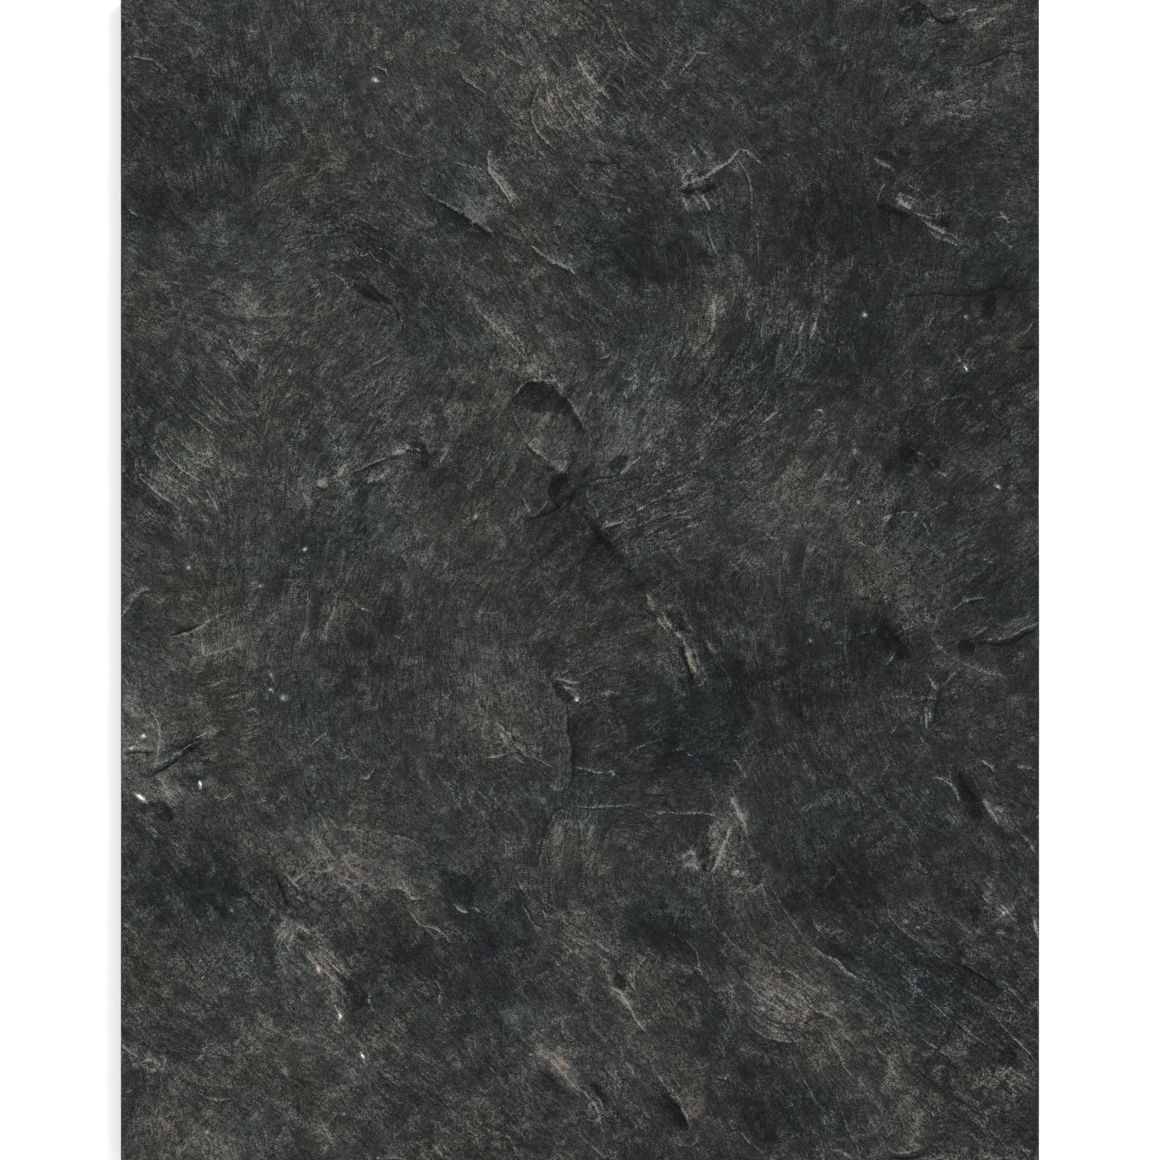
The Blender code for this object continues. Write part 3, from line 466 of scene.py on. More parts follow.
LINES_LEFT = [
    (0.6, 0.3, 1.5, [(-229, 159), (-226, 153), (-222, 146), (-218, 141)]),
    (0.4, 0.1, 0.8, [(-224, 157), (-220, 151), (-216, 145), (-212, 140)]),
    (0.6, 0.1, 0.9, [(-209, 140), (-206, 145), (-203, 148)]),
    (0.4, 0.1, 0.8, [(-214, 144), (-209, 140), (-204, 138)]),
    (0.4, 0.1, 0.8, [(-225, 190), (-219, 181), (-213, 173), (-205, 171), (-190, 173), (-178, 179)]),
    (0.35, 0.1, 0.7, [(-182, 177), (-172, 184), (-165, 192)]),
    (0.35, 0.1, 1.0, [(-228, 186), (-224, 178)]),
    (0.6, 0.2, 0.9, [(-253, 136), (-247, 128), (-242, 122), (-234, 114), (-225, 107)]),
    (0.45, 0.2, 0.8, [(-257, 131), (-252, 127), (-246, 121), (-240, 115)]),
    (0.4, 0.2, 0.8, [(-262, 125), (-256, 119), (-250, 113), (-244, 108), (-231, 98)]),
    (0.3, 0.2, 0.8, [(-262, 114), (-252, 105), (-244, 99), (-236, 94)]),
    (0.35, 0.1, 0.8, [(-242, 112), (-236, 107), (-228, 100)]),
    (0.4, 0.1, 0.8, [(-208, 111), (-203, 107), (-206, 102), (-211, 104)]),
    (0.35, 0.3, 0.9, [(-273, 105), (-267, 96), (-259, 88), (-248, 83), (-236, 79)]),
    (0.5, 0.1, 0.9, [(-262, 84), (-252, 78), (-242, 74), (-232, 72)]),
    (0.9, 0.3, 0.8, [(-291, 81), (-291, 73), (-287, 67), (-281, 61), (-274, 55), (-260, 45)]),
    (0.5, 0.2, 0.8, [(-288, 83), (-287, 76), (-283, 71), (-277, 66), (-270, 61)]),
    (0.4, 0.2, 0.8, [(-285, 96), (-282, 88), (-276, 80), (-270, 74)]),
    (0.6, 0.3, 0.9, [(-274, 84), (-268, 79), (-262, 74), (-256, 69), (-243, 62)]),
    (0.5, 0.2, 0.9, [(-277, 71), (-269, 68), (-262, 63), (-255, 58)]),
    (0.4, 0.1, 0.8, [(-266, 60), (-258, 54), (-251, 48)]),
    (0.7, 0.1, 1.4, [(-247, 62), (-242, 57), (-239, 52), (-237, 46)]),
    (0.35, 0.1, 0.7, [(-237, 45), (-231, 52), (-226, 58), (-220, 62)]),
    (0.4, 0.1, 0.8, [(-252, 44), (-247, 38)]),
    (1.1, 0.2, 2.4, [(-173, 65), (-168, 63), (-165, 61)]),
    (1.0, 0.3, 1.3, [(-163, 66), (-158, 68), (-156, 72), (-151, 75)]),
    (0.8, 0.7, 0.9, [(-151, 69), (-146, 71), (-140, 75), (-133, 78), (-125, 81)]),
    (1.1, 0.4, 2.0, [(-123, 82), (-119, 85), (-115, 84)]),
    (0.9, 0.6, 1.1, [(-117, 85), (-112, 87), (-107, 85), (-102, 82)]),
    (0.5, 0.2, 1.6, [(-140, 63), (-131, 67), (-123, 73)]),
    (0.5, 0.1, 0.9, [(-158, 87), (-153, 83)]),
    (0.4, 0.1, 0.7, [(-193, 58), (-187, 52)]),
    (0.4, 0.1, 0.7, [(-190, 61), (-184, 54)]),
    (0.7, 0.1, 0.8, [(-182, 58), (-180, 52)]),
    (0.4, 0.1, 0.8, [(-197, 28), (-190, 24)]),
    (0.45, 0.1, 0.7, [(-150, 17), (-147, 22), (-142, 26)]),
    (0.45, 0.1, 0.7, [(-118, 19), (-114, 13), (-112, 8)]),
    (0.6, 0.4, 0.9, [(-139, 138), (-132, 142), (-126, 146)]),
    (0.35, 0.2, 0.7, [(-155, 108), (-148, 113), (-141, 119)]),
    (0.35, 0.2, 0.7, [(-148, 104), (-140, 111), (-134, 117)]),
    (0.4, 0.1, 0.8, [(-168, 45), (-158, 42), (-150, 40)]),
    (0.35, 0.1, 0.7, [(-175, 124), (-168, 128)]),
    (0.6, 0.5, 1.5, [(-300, -26), (-296, -20), (-292, -12), (-287, -6), (-279, -6)]),
    (-1.1, 0.0, 1.0, [(-268, -36), (-262, -35), (-255, -32), (-247, -28)]),
    (0.7, 0.0, 0.8, [(-266, -38), (-258, -35), (-250, -32), (-244, -27), (-236, -23), (-228, -20)]),
    (0.45, 0.0, 0.7, [(-241, -14), (-236, -19), (-229, -18)]),
    (0.55, 0.0, 0.7, [(-248, -39), (-246, -50), (-238, -47), (-230, -45), (-221, -43)]),
    (0.4, 0.0, 0.6, [(-242, -37), (-241, -47)]),
    (0.4, 0.0, 0.6, [(-237, -37), (-236, -46)]),
    (0.4, 0.0, 0.6, [(-224, -35), (-223, -44)]),
    (0.8, 0.1, 0.9, [(-279, -87), (-275, -94), (-274, -102), (-275, -112), (-277, -121)]),
    (-1.1, 0.0, 1.2, [(-282, -129), (-274, -124), (-268, -120), (-261, -116)]),
    (-0.8, 0.0, 0.9, [(-262, -116), (-254, -112), (-245, -106)]),
    (-0.7, 0.0, 0.8, [(-262, -111), (-252, -106), (-244, -103)]),
    (0.7, 0.0, 0.9, [(-279, -122), (-268, -116), (-258, -110), (-246, -104)]),
    (0.7, 0.0, 1.0, [(-252, -104), (-244, -100), (-238, -99), (-229, -97)]),
    (0.6, 0.0, 0.9, [(-299, -111), (-291, -109), (-279, -110)]),
    (-0.8, 0.0, 0.9, [(-298, -114), (-290, -112), (-277, -113)]),
    (0.6, 0.0, 1.5, [(-277, -125), (-271, -133), (-266, -141), (-261, -149)]),
    (0.5, 0.0, 0.9, [(-268, -126), (-262, -134), (-258, -142)]),
    (1.4, 0.2, 1.8, [(-292, -139), (-287, -143), (-282, -146)]),
    (1.2, 0.2, 1.5, [(-249, -130), (-247, -137)]),
    (0.9, 0.0, 0.8, [(-240, -140), (-237, -142), (-233, -143), (-227, -139)]),
    (0.4, 0.0, 0.7, [(-217, -147), (-208, -144), (-200, -143)]),
    (0.5, 0.0, 0.8, [(-196, -145), (-193, -138)]),
    (0.7, 0.1, 0.9, [(-208, -67), (-203, -72), (-198, -76)]),
    (0.7, 0.1, 0.9, [(-203, -61), (-200, -67)]),
    (0.8, 0.0, 0.8, [(-232, -79), (-226, -76), (-221, -75)]),
    (-0.6, 0.0, 0.8, [(-234, -77), (-226, -74), (-219, -71)]),
    (0.35, 0.0, 0.7, [(-247, -73), (-240, -69), (-234, -65)]),
    (0.45, 0.0, 1.3, [(-217, -86), (-210, -83)]),
    (0.6, 0.2, 0.9, [(-176, -109), (-170, -104), (-164, -101)]),
    (0.8, 0.3, 1.1, [(-144, -130), (-138, -129), (-133, -124)]),
    (0.5, 0.1, 0.8, [(-157, -118), (-150, -115)]),
    (0.45, 0.1, 0.8, [(-163, -10), (-161, -20), (-166, -33), (-172, -45)]),
    (0.3, 0.1, 0.8, [(-178, -4), (-178, -18), (-180, -32)]),
    (0.45, 0.1, 0.9, [(-153, -11), (-144, -18), (-133, -23)]),
    (0.5, 0.1, 0.9, [(-123, -36), (-115, -41)]),
    (0.4, 0.1, 0.9, [(-133, -26), (-127, -19), (-124, -12)]),
    (0.5, 0.2, 0.8, [(-168, -150), (-164, -157), (-158, -162), (-150, -163), (-140, -165)]),
    (0.5, 0.2, 0.9, [(-100, -176), (-108, -171), (-116, -168), (-126, -166), (-134, -164)]),
    (0.4, 0.2, 0.7, [(-172, -152), (-167, -160), (-164, -167)]),
    (0.4, 0.1, 0.8, [(-153, -169), (-150, -179)]),
    (0.35, 0.1, 0.7, [(-108, -122), (-103, -132)]),
    (0.35, 0.1, 0.7, [(-294, -36), (-286, -30), (-276, -24)]),
    (0.3, 0.1, 0.7, [(-282, -20), (-272, -14), (-262, -8)]),
    (0.5, 0.0, 0.8, [(-248, -37), (-247, -43), (-246, -49)]),
    (0.4, 0.0, 0.7, [(-239, -37), (-238, -42), (-237, -46)]),
    (0.45, 0.0, 0.8, [(-224, -35), (-222, -41), (-221, -46)]),
]
LINES_MIDDLE = [
    (0.45, 0.0, 1.0, [(-82, 190), (-71, 183), (-62, 173), (-54, 164), (-46, 155), (-38, 147)]),
    (0.35, 0.2, 0.9, [(-68, 186), (-60, 177), (-52, 168), (-42, 156), (-33, 145)]),
    (0.3, 0.0, 0.8, [(-74, 178), (-66, 170), (-58, 161), (-50, 153)]),
    (0.7, 0.1, 0.9, [(-26, 139), (-25, 134), (-28, 131)]),
    (0.6, 0.1, 1.0, [(-20, 135), (-16, 131), (-14, 133)]),
    (0.8, 0.0, 1.1, [(-44, 120), (-38, 127), (-32, 131), (-22, 131), (-16, 131), (-11, 124)]),
    (0.6, 0.0, 1.0, [(-8, 120), (-4, 116), (-1, 108), (2, 100)]),
    (0.5, 0.1, 0.7, [(-4, 128), (0, 132), (4, 130)]),
    (0.5, 0.2, 0.8, [(-44, 112), (-41, 103), (-38, 97), (-34, 91)]),
    (0.8, 0.6, 0.9, [(-36, 92), (-31, 86), (-26, 82), (-19, 77)]),
    (0.8, 0.2, 0.8, [(-39, 56), (-36, 49), (-32, 41)]),
    (0.6, 0.1, 0.9, [(-32, 41), (-26, 45), (-22, 50), (-20, 56)]),
    (-0.9, 0.0, 1.0, [(-31, 40), (-24, 42), (-17, 46), (-10, 50)]),
    (1.1, 0.0, 1.3, [(40, 82), (34, 76), (29, 71), (25, 68)]),
    (0.6, 0.7, 0.8, [(26, 68), (19, 66), (11, 65), (3, 63)]),
    (-0.7, 0.0, 0.8, [(37, 80), (38, 86)]),
    (0.6, 0.2, 0.8, [(3, 62), (5, 54), (9, 47), (12, 40)]),
    (1.0, 0.3, 1.1, [(13, 33), (20, 36), (29, 40)]),
    (0.6, 0.2, 0.8, [(26, 39), (36, 45), (46, 50), (56, 55), (64, 59), (72, 62)]),
    (0.5, 0.2, 0.8, [(29, 34), (40, 37), (50, 40), (60, 43), (70, 46), (84, 50)]),
    (0.35, 0.2, 0.7, [(34, 26), (44, 30), (55, 36), (65, 40), (78, 43)]),
    (0.35, 0.2, 0.7, [(46, 24), (58, 28), (70, 34), (82, 37)]),
    (0.3, 0.2, 0.7, [(44, 58), (54, 64), (66, 69), (80, 72)]),
    (0.3, 0.2, 0.7, [(30, 50), (40, 56), (52, 62)]),
    (0.7, 0.1, 0.9, [(61, 16), (66, 11)]),
    (0.35, 0.1, 0.7, [(47, 12), (52, 8), (58, 5)]),
    (1.1, 0.1, 1.3, [(35, 122), (36, 129)]),
    (0.7, 0.2, 0.9, [(27, 135), (30, 131), (34, 133), (37, 136)]),
    (0.6, 0.2, 0.8, [(31, 128), (29, 122), (33, 117)]),
    (0.6, 0.1, 0.8, [(38, 126), (43, 133), (47, 139), (49, 144)]),
    (0.5, 0.1, 0.8, [(45, 119), (50, 126), (56, 133)]),
    (0.4, 0.1, 0.7, [(40, 112), (46, 118), (50, 123)]),
    (0.45, 0.1, 0.8, [(61, 147), (66, 155), (70, 165), (72, 176)]),
    (0.4, 0.3, 0.8, [(68, 144), (76, 151), (84, 158), (90, 162)]),
    (0.35, 0.3, 0.8, [(62, 138), (72, 146), (82, 153)]),
    (0.35, 0.2, 0.8, [(76, 140), (86, 150), (94, 156)]),
    (0.8, 0.1, 1.7, [(86, 161), (86, 170), (87, 179), (90, 187)]),
    (0.4, 0.1, 0.9, [(95, 160), (95, 170), (92, 181)]),
    (0.9, 0.3, 1.2, [(12, 144), (18, 146), (20, 150)]),
    (0.4, 0.1, 0.7, [(-12, 178), (-2, 170), (6, 161), (12, 152)]),
    (0.35, 0.1, 0.7, [(-2, 180), (8, 170), (18, 160)]),
    (0.5, 0.1, 0.7, [(14, 179), (21, 173), (28, 167)]),
    (0.35, 0.1, 0.7, [(28, 176), (36, 166), (42, 156)]),
    (0.5, 0.1, 0.7, [(-5, 190), (-1, 187), (0, 182)]),
    (0.5, 0.1, 0.8, [(85, 101), (91, 109), (98, 117)]),
    (0.4, 0.1, 0.8, [(82, 90), (90, 99), (99, 106)]),
    (0.5, 0.1, 0.8, [(-95, 73), (-88, 81), (-83, 88)]),
    (0.3, 0.3, 0.7, [(-83, 90), (-75, 88), (-68, 86), (-61, 81)]),
    (0.4, 0.1, 0.8, [(-74, 66), (-72, 59)]),
    (0.4, 0.1, 0.7, [(-16, -10), (-8, -6), (0, -1)]),
    (0.6, 0.0, 2.0, [(43, -7), (46, -14), (50, -21)]),
    (1.1, 0.0, 0.9, [(50, -21), (52, -28), (57, -36)]),
    (0.8, 0.0, 0.8, [(54, -19), (56, -26), (59, -33)]),
    (0.9, 0.1, 1.3, [(59, -35), (65, -38), (69, -44)]),
    (1.2, 0.0, 1.3, [(69, -47), (71, -54), (76, -61)]),
    (0.9, 0.0, 0.9, [(74, -44), (77, -50), (78, -57)]),
    (-1.0, 0.0, 1.5, [(64, -42), (67, -50), (70, -58), (74, -67)]),
    (-0.7, 0.0, 0.8, [(79, -39), (83, -46), (87, -52)]),
    (0.6, 0.0, 0.8, [(82, -39), (86, -45), (90, -50)]),
    (0.8, 0.1, 0.8, [(73, -71), (79, -70), (83, -66), (86, -62)]),
    (0.4, 0.1, 0.8, [(60, -47), (66, -52)]),
    (0.5, 0.1, 1.0, [(68, -24), (71, -31), (75, -37)]),
    (1.1, 0.0, 1.0, [(-16, -64), (-10, -65), (-4, -67), (0, -66)]),
    (1.0, 0.0, 0.9, [(-11, -69), (-4, -70)]),
    (1.3, 0.1, 1.4, [(-4, -77), (0, -79)]),
    (0.5, 0.0, 0.8, [(-12, -61), (-5, -59)]),
    (0.3, 0.6, 1.3, [(-15, -139), (-9, -135), (-7, -128), (-7, -118), (-7, -108), (-9, -100),
                     (-9, -88), (-10, -79)]),
    (0.5, 0.0, 1.2, [(-20, -134), (-14, -138), (-10, -134)]),
    (0.8, 0.2, 0.9, [(-6, -122), (2, -124), (10, -126), (18, -126), (24, -125)]),
    (0.9, 0.0, 1.2, [(20, -123), (23, -129)]),
    (0.7, 0.1, 0.7, [(27, -118), (33, -114), (38, -110), (45, -107), (53, -105)]),
    (0.4, 0.1, 0.7, [(47, -96), (52, -104), (56, -112)]),
    (0.9, 0.1, 1.0, [(59, -112), (65, -110), (70, -114)]),
    (0.9, 0.1, 1.1, [(67, -113), (74, -116)]),
    (0.6, 0.1, 0.9, [(72, -111), (78, -118)]),
    (0.6, 0.1, 1.9, [(10, -76), (18, -74), (26, -75)]),
    (0.5, 0.1, 0.9, [(-73, -99), (-66, -94), (-57, -93)]),
    (0.7, 0.5, 1.2, [(-44, -107), (-47, -101), (-51, -96), (-56, -92)]),
    (0.8, 0.2, 0.9, [(-53, -99), (-50, -105), (-47, -110)]),
    (0.6, 0.4, 0.8, [(-62, -117), (-53, -114), (-45, -112)]),
    (0.6, 0.4, 0.9, [(-44, -107), (-38, -113), (-33, -118)]),
    (0.8, 0.2, 0.9, [(-43, -116), (-37, -120)]),
    (0.5, 0.3, 0.8, [(-34, -115), (-26, -118), (-17, -123)]),
    (0.6, 0.1, 0.8, [(-66, -139), (-58, -145)]),
    (0.6, 0.2, 0.8, [(-6, -148), (6, -149), (20, -149), (34, -148), (50, -151)]),
    (0.8, 0.2, 0.8, [(48, -151), (64, -152), (78, -152), (87, -154), (94, -158)]),
    (0.35, 0.1, 0.7, [(32, -150), (46, -154), (60, -150)]),
    (0.4, 0.5, 1.0, [(-2, -158), (-6, -153), (-11, -151), (-16, -154), (-19, -160),
                      (-22, -168), (-25, -178), (-28, -190)]),
    (0.3, 0.2, 0.8, [(-2, -156), (1, -164), (2, -172)]),
    (1.1, 0.2, 1.8, [(101, -159), (97, -168), (93, -176), (89, -184), (85, -193)]),
    (0.6, 0.0, 1.0, [(86, -156), (92, -162), (97, -164)]),
    (0.5, 0.0, 1.2, [(82, -158), (86, -166), (90, -172)]),
    (1.0, 0.0, 1.4, [(67, -181), (72, -177), (76, -181)]),
    (1.0, 0.0, 1.6, [(69, -187), (74, -185), (77, -190)]),
    (0.6, 0.1, 0.9, [(60, -178), (66, -184)]),
    (0.6, 0.1, 0.9, [(-90, -79), (-86, -76), (-82, -73)]),
    (0.4, 0.1, 0.8, [(-98, -70), (-90, -74), (-84, -80)]),
    (0.35, 0.1, 0.7, [(1, -2), (-8, -7), (-18, -14), (-24, -20)]),
    (0.45, 0.1, 0.9, [(92, -55), (97, -64), (100, -72)]),
    (0.35, 0.1, 0.7, [(20, -38), (32, -34), (44, -32)]),
    (0.35, 0.1, 0.7, [(8, -140), (9, -147)]),
]
LINES_RIGHT = [
    (0.7, 0.1, 0.8, [(99, 99), (106, 104), (112, 109), (118, 115), (121, 120), (124, 128)]),
    (0.55, 0.1, 0.8, [(99, 117), (104, 122), (110, 129)]),
    (0.4, 0.1, 0.7, [(105, 137), (107, 142), (109, 149)]),
    (0.4, 0.1, 0.7, [(111, 137), (118, 142), (128, 151)]),
    (0.5, 0.1, 0.8, [(131, 134), (136, 140), (141, 146), (144, 153)]),
    (0.5, 0.1, 0.8, [(103, 91), (112, 97), (120, 103), (130, 110), (138, 117)]),
    (0.45, 0.1, 0.7, [(100, 84), (108, 90), (116, 95), (124, 102)]),
    (0.35, 0.1, 0.7, [(101, 79), (112, 86), (122, 93), (133, 101)]),
    (0.35, 0.1, 0.7, [(122, 88), (132, 96), (142, 104)]),
    (1.2, 0.1, 1.2, [(150, 156), (152, 161), (154, 167), (155, 172)]),
    (0.5, 0.1, 0.7, [(155, 170), (156, 178), (159, 185)]),
    (0.9, 0.1, 0.9, [(142, 159), (145, 165), (147, 172)]),
    (0.4, 0.1, 0.8, [(130, 156), (129, 166), (131, 177)]),
    (0.45, 0.1, 0.8, [(136, 175), (141, 183)]),
    (0.45, 0.1, 0.8, [(109, 168), (112, 179)]),
    (0.35, 0.1, 0.7, [(118, 160), (120, 172), (124, 182)]),
    (0.7, 0.2, 1.1, [(235, 118), (243, 119), (250, 120), (255, 117)]),
    (0.4, 0.1, 0.7, [(254, 118), (261, 113), (264, 107)]),
    (1.1, 0.0, 1.0, [(251, 141), (253, 136)]),
    (0.6, 0.1, 0.8, [(258, 87), (261, 93), (264, 99)]),
    (0.4, 0.1, 0.8, [(279, 125), (281, 133)]),
    (0.45, 0.1, 0.8, [(290, 117), (295, 119), (300, 124)]),
    (0.5, 0.1, 1.0, [(213, 88), (217, 94), (222, 97)]),
    (0.8, 0.2, 1.1, [(217, 87), (221, 83), (226, 81)]),
    (0.7, 0.2, 0.9, [(224, 80), (228, 78), (231, 73)]),
    (0.6, 0.1, 1.4, [(233, 70), (240, 66)]),
    (0.8, 0.5, 0.9, [(219, 44), (212, 44), (206, 43), (200, 41), (196, 38)]),
    (1.0, 0.1, 1.2, [(198, 36), (203, 41)]),
    (0.7, 0.2, 0.9, [(221, 39), (226, 34), (229, 28)]),
    (0.6, 0.2, 0.8, [(228, 39), (231, 32)]),
    (0.6, 0.2, 0.9, [(223, 25), (228, 19)]),
    (0.5, 0.1, 0.9, [(213, 21), (218, 15)]),
    (0.6, 0.1, 0.9, [(183, 24), (186, 20)]),
    (0.6, 0.1, 0.9, [(263, 14), (271, 10)]),
    (0.4, 0.2, 0.7, [(245, 64), (252, 70), (260, 75)]),
    (0.4, 0.2, 0.7, [(258, 62), (266, 68), (276, 74), (286, 80)]),
    (0.45, 0.2, 0.7, [(231, 45), (238, 50), (244, 54), (251, 58)]),
    (0.4, 0.2, 0.8, [(236, 24), (246, 28), (256, 33), (267, 38)]),
    (0.4, 0.2, 0.8, [(244, 18), (254, 21), (264, 27)]),
    (0.3, 0.1, 0.7, [(256, 46), (266, 51), (278, 56)]),
    (0.35, 0.1, 1.5, [(157, 65), (166, 66), (177, 64)]),
    (0.6, 0.1, 0.8, [(151, 111), (157, 110), (159, 104)]),
    (1.1, 0.2, 1.6, [(98, -142), (102, -149), (106, -155), (109, -162)]),
    (1.0, 0.1, 1.0, [(106, -159), (110, -167)]),
    (0.5, 0.1, 1.2, [(99, -116), (104, -122), (107, -129)]),
    (0.9, 0.1, 0.9, [(147, -43), (150, -40), (153, -38)]),
    (0.7, 0.1, 0.8, [(165, -41), (173, -41)]),
    (0.5, 0.1, 0.9, [(157, -51), (160, -58), (158, -66)]),
    (0.7, 0.1, 1.0, [(196, -3), (199, -9), (200, -16)]),
    (0.5, 0.1, 1.0, [(188, -8), (192, -14)]),
    (1.2, 0.1, 1.0, [(199, -56), (203, -51), (206, -47)]),
    (0.8, 0.1, 0.8, [(205, -37), (212, -33), (217, -31), (219, -27)]),
    (0.5, 0.1, 0.8, [(209, -27), (212, -33)]),
    (0.4, 0.1, 0.9, [(188, -27), (192, -34), (190, -38)]),
    (0.9, 0.3, 1.3, [(242, -20), (247, -17), (252, -13), (263, -12)]),
    (0.9, 0.2, 1.2, [(255, -37), (262, -32), (268, -28)]),
    (0.9, 0.0, 1.0, [(262, -39), (272, -38), (283, -37), (291, -33), (300, -27)]),
    (0.5, 0.1, 0.8, [(274, -32), (284, -28), (296, -22)]),
    (-0.6, 0.0, 1.3, [(268, -42), (280, -42), (288, -39), (300, -32)]),
    (-0.7, 0.0, 1.0, [(257, -42), (266, -41), (276, -44)]),
    (0.5, 0.1, 0.9, [(229, -36), (234, -42), (241, -49)]),
    (0.45, 0.1, 1.0, [(246, -54), (256, -58), (268, -62), (280, -65)]),
    (0.9, 0.2, 1.0, [(227, -63), (231, -68), (235, -73)]),
    (0.6, 0.1, 0.9, [(221, -79), (228, -76), (235, -78)]),
    (1.3, 0.1, 1.3, [(226, -81), (227, -88), (226, -97)]),
    (0.9, 0.1, 0.9, [(230, -83), (229, -92)]),
    (0.6, 0.1, 0.9, [(224, -87), (222, -97)]),
    (0.6, 0.1, 0.9, [(236, -71), (242, -64), (249, -58)]),
    (0.4, 0.1, 0.8, [(203, -78), (212, -76), (220, -78)]),
    (0.8, 0.1, 1.0, [(203, -100), (208, -95)]),
    (1.0, 0.0, 1.1, [(230, -129), (238, -129), (243, -133), (246, -139), (248, -146)]),
    (0.9, 0.0, 1.7, [(262, -141), (266, -148), (270, -155), (274, -161)]),
    (0.6, 0.1, 0.9, [(258, -131), (262, -138)]),
    (0.4, 0.1, 0.8, [(268, -143), (274, -151), (279, -157)]),
    (1.1, 0.1, 1.0, [(263, -117), (268, -122), (272, -127)]),
    (0.8, 0.1, 1.5, [(284, -122), (292, -122), (300, -124)]),
    (0.4, 0.1, 0.8, [(289, -127), (300, -130)]),
    (0.8, 0.3, 1.0, [(284, -163), (289, -167), (294, -172), (297, -179)]),
    (0.5, 0.1, 1.0, [(280, -172), (286, -177)]),
    (0.4, 0.1, 0.8, [(222, -151), (232, -154), (240, -158)]),
    (0.6, 0.1, 0.9, [(196, -132), (198, -126), (202, -121)]),
    (0.55, 0.1, 0.8, [(189, -133), (199, -133)]),
    (0.45, 0.1, 0.8, [(185, -117), (190, -124)]),
    (0.4, 0.1, 0.8, [(179, -173), (183, -168), (182, -161)]),
    (0.4, 0.1, 0.8, [(214, -140), (220, -144)]),
    (0.35, 0.1, 0.7, [(190, -146), (200, -151), (210, -158)]),
    (0.5, 0.5, 0.9, [(236, -62), (231, -68), (229, -76), (227, -86), (226, -96)]),
    (-0.7, 0.0, 1.1, [(237, -70), (234, -80), (232, -92)]),
    (0.5, 0.2, 0.8, [(216, -76), (223, -78), (229, -77)]),
]
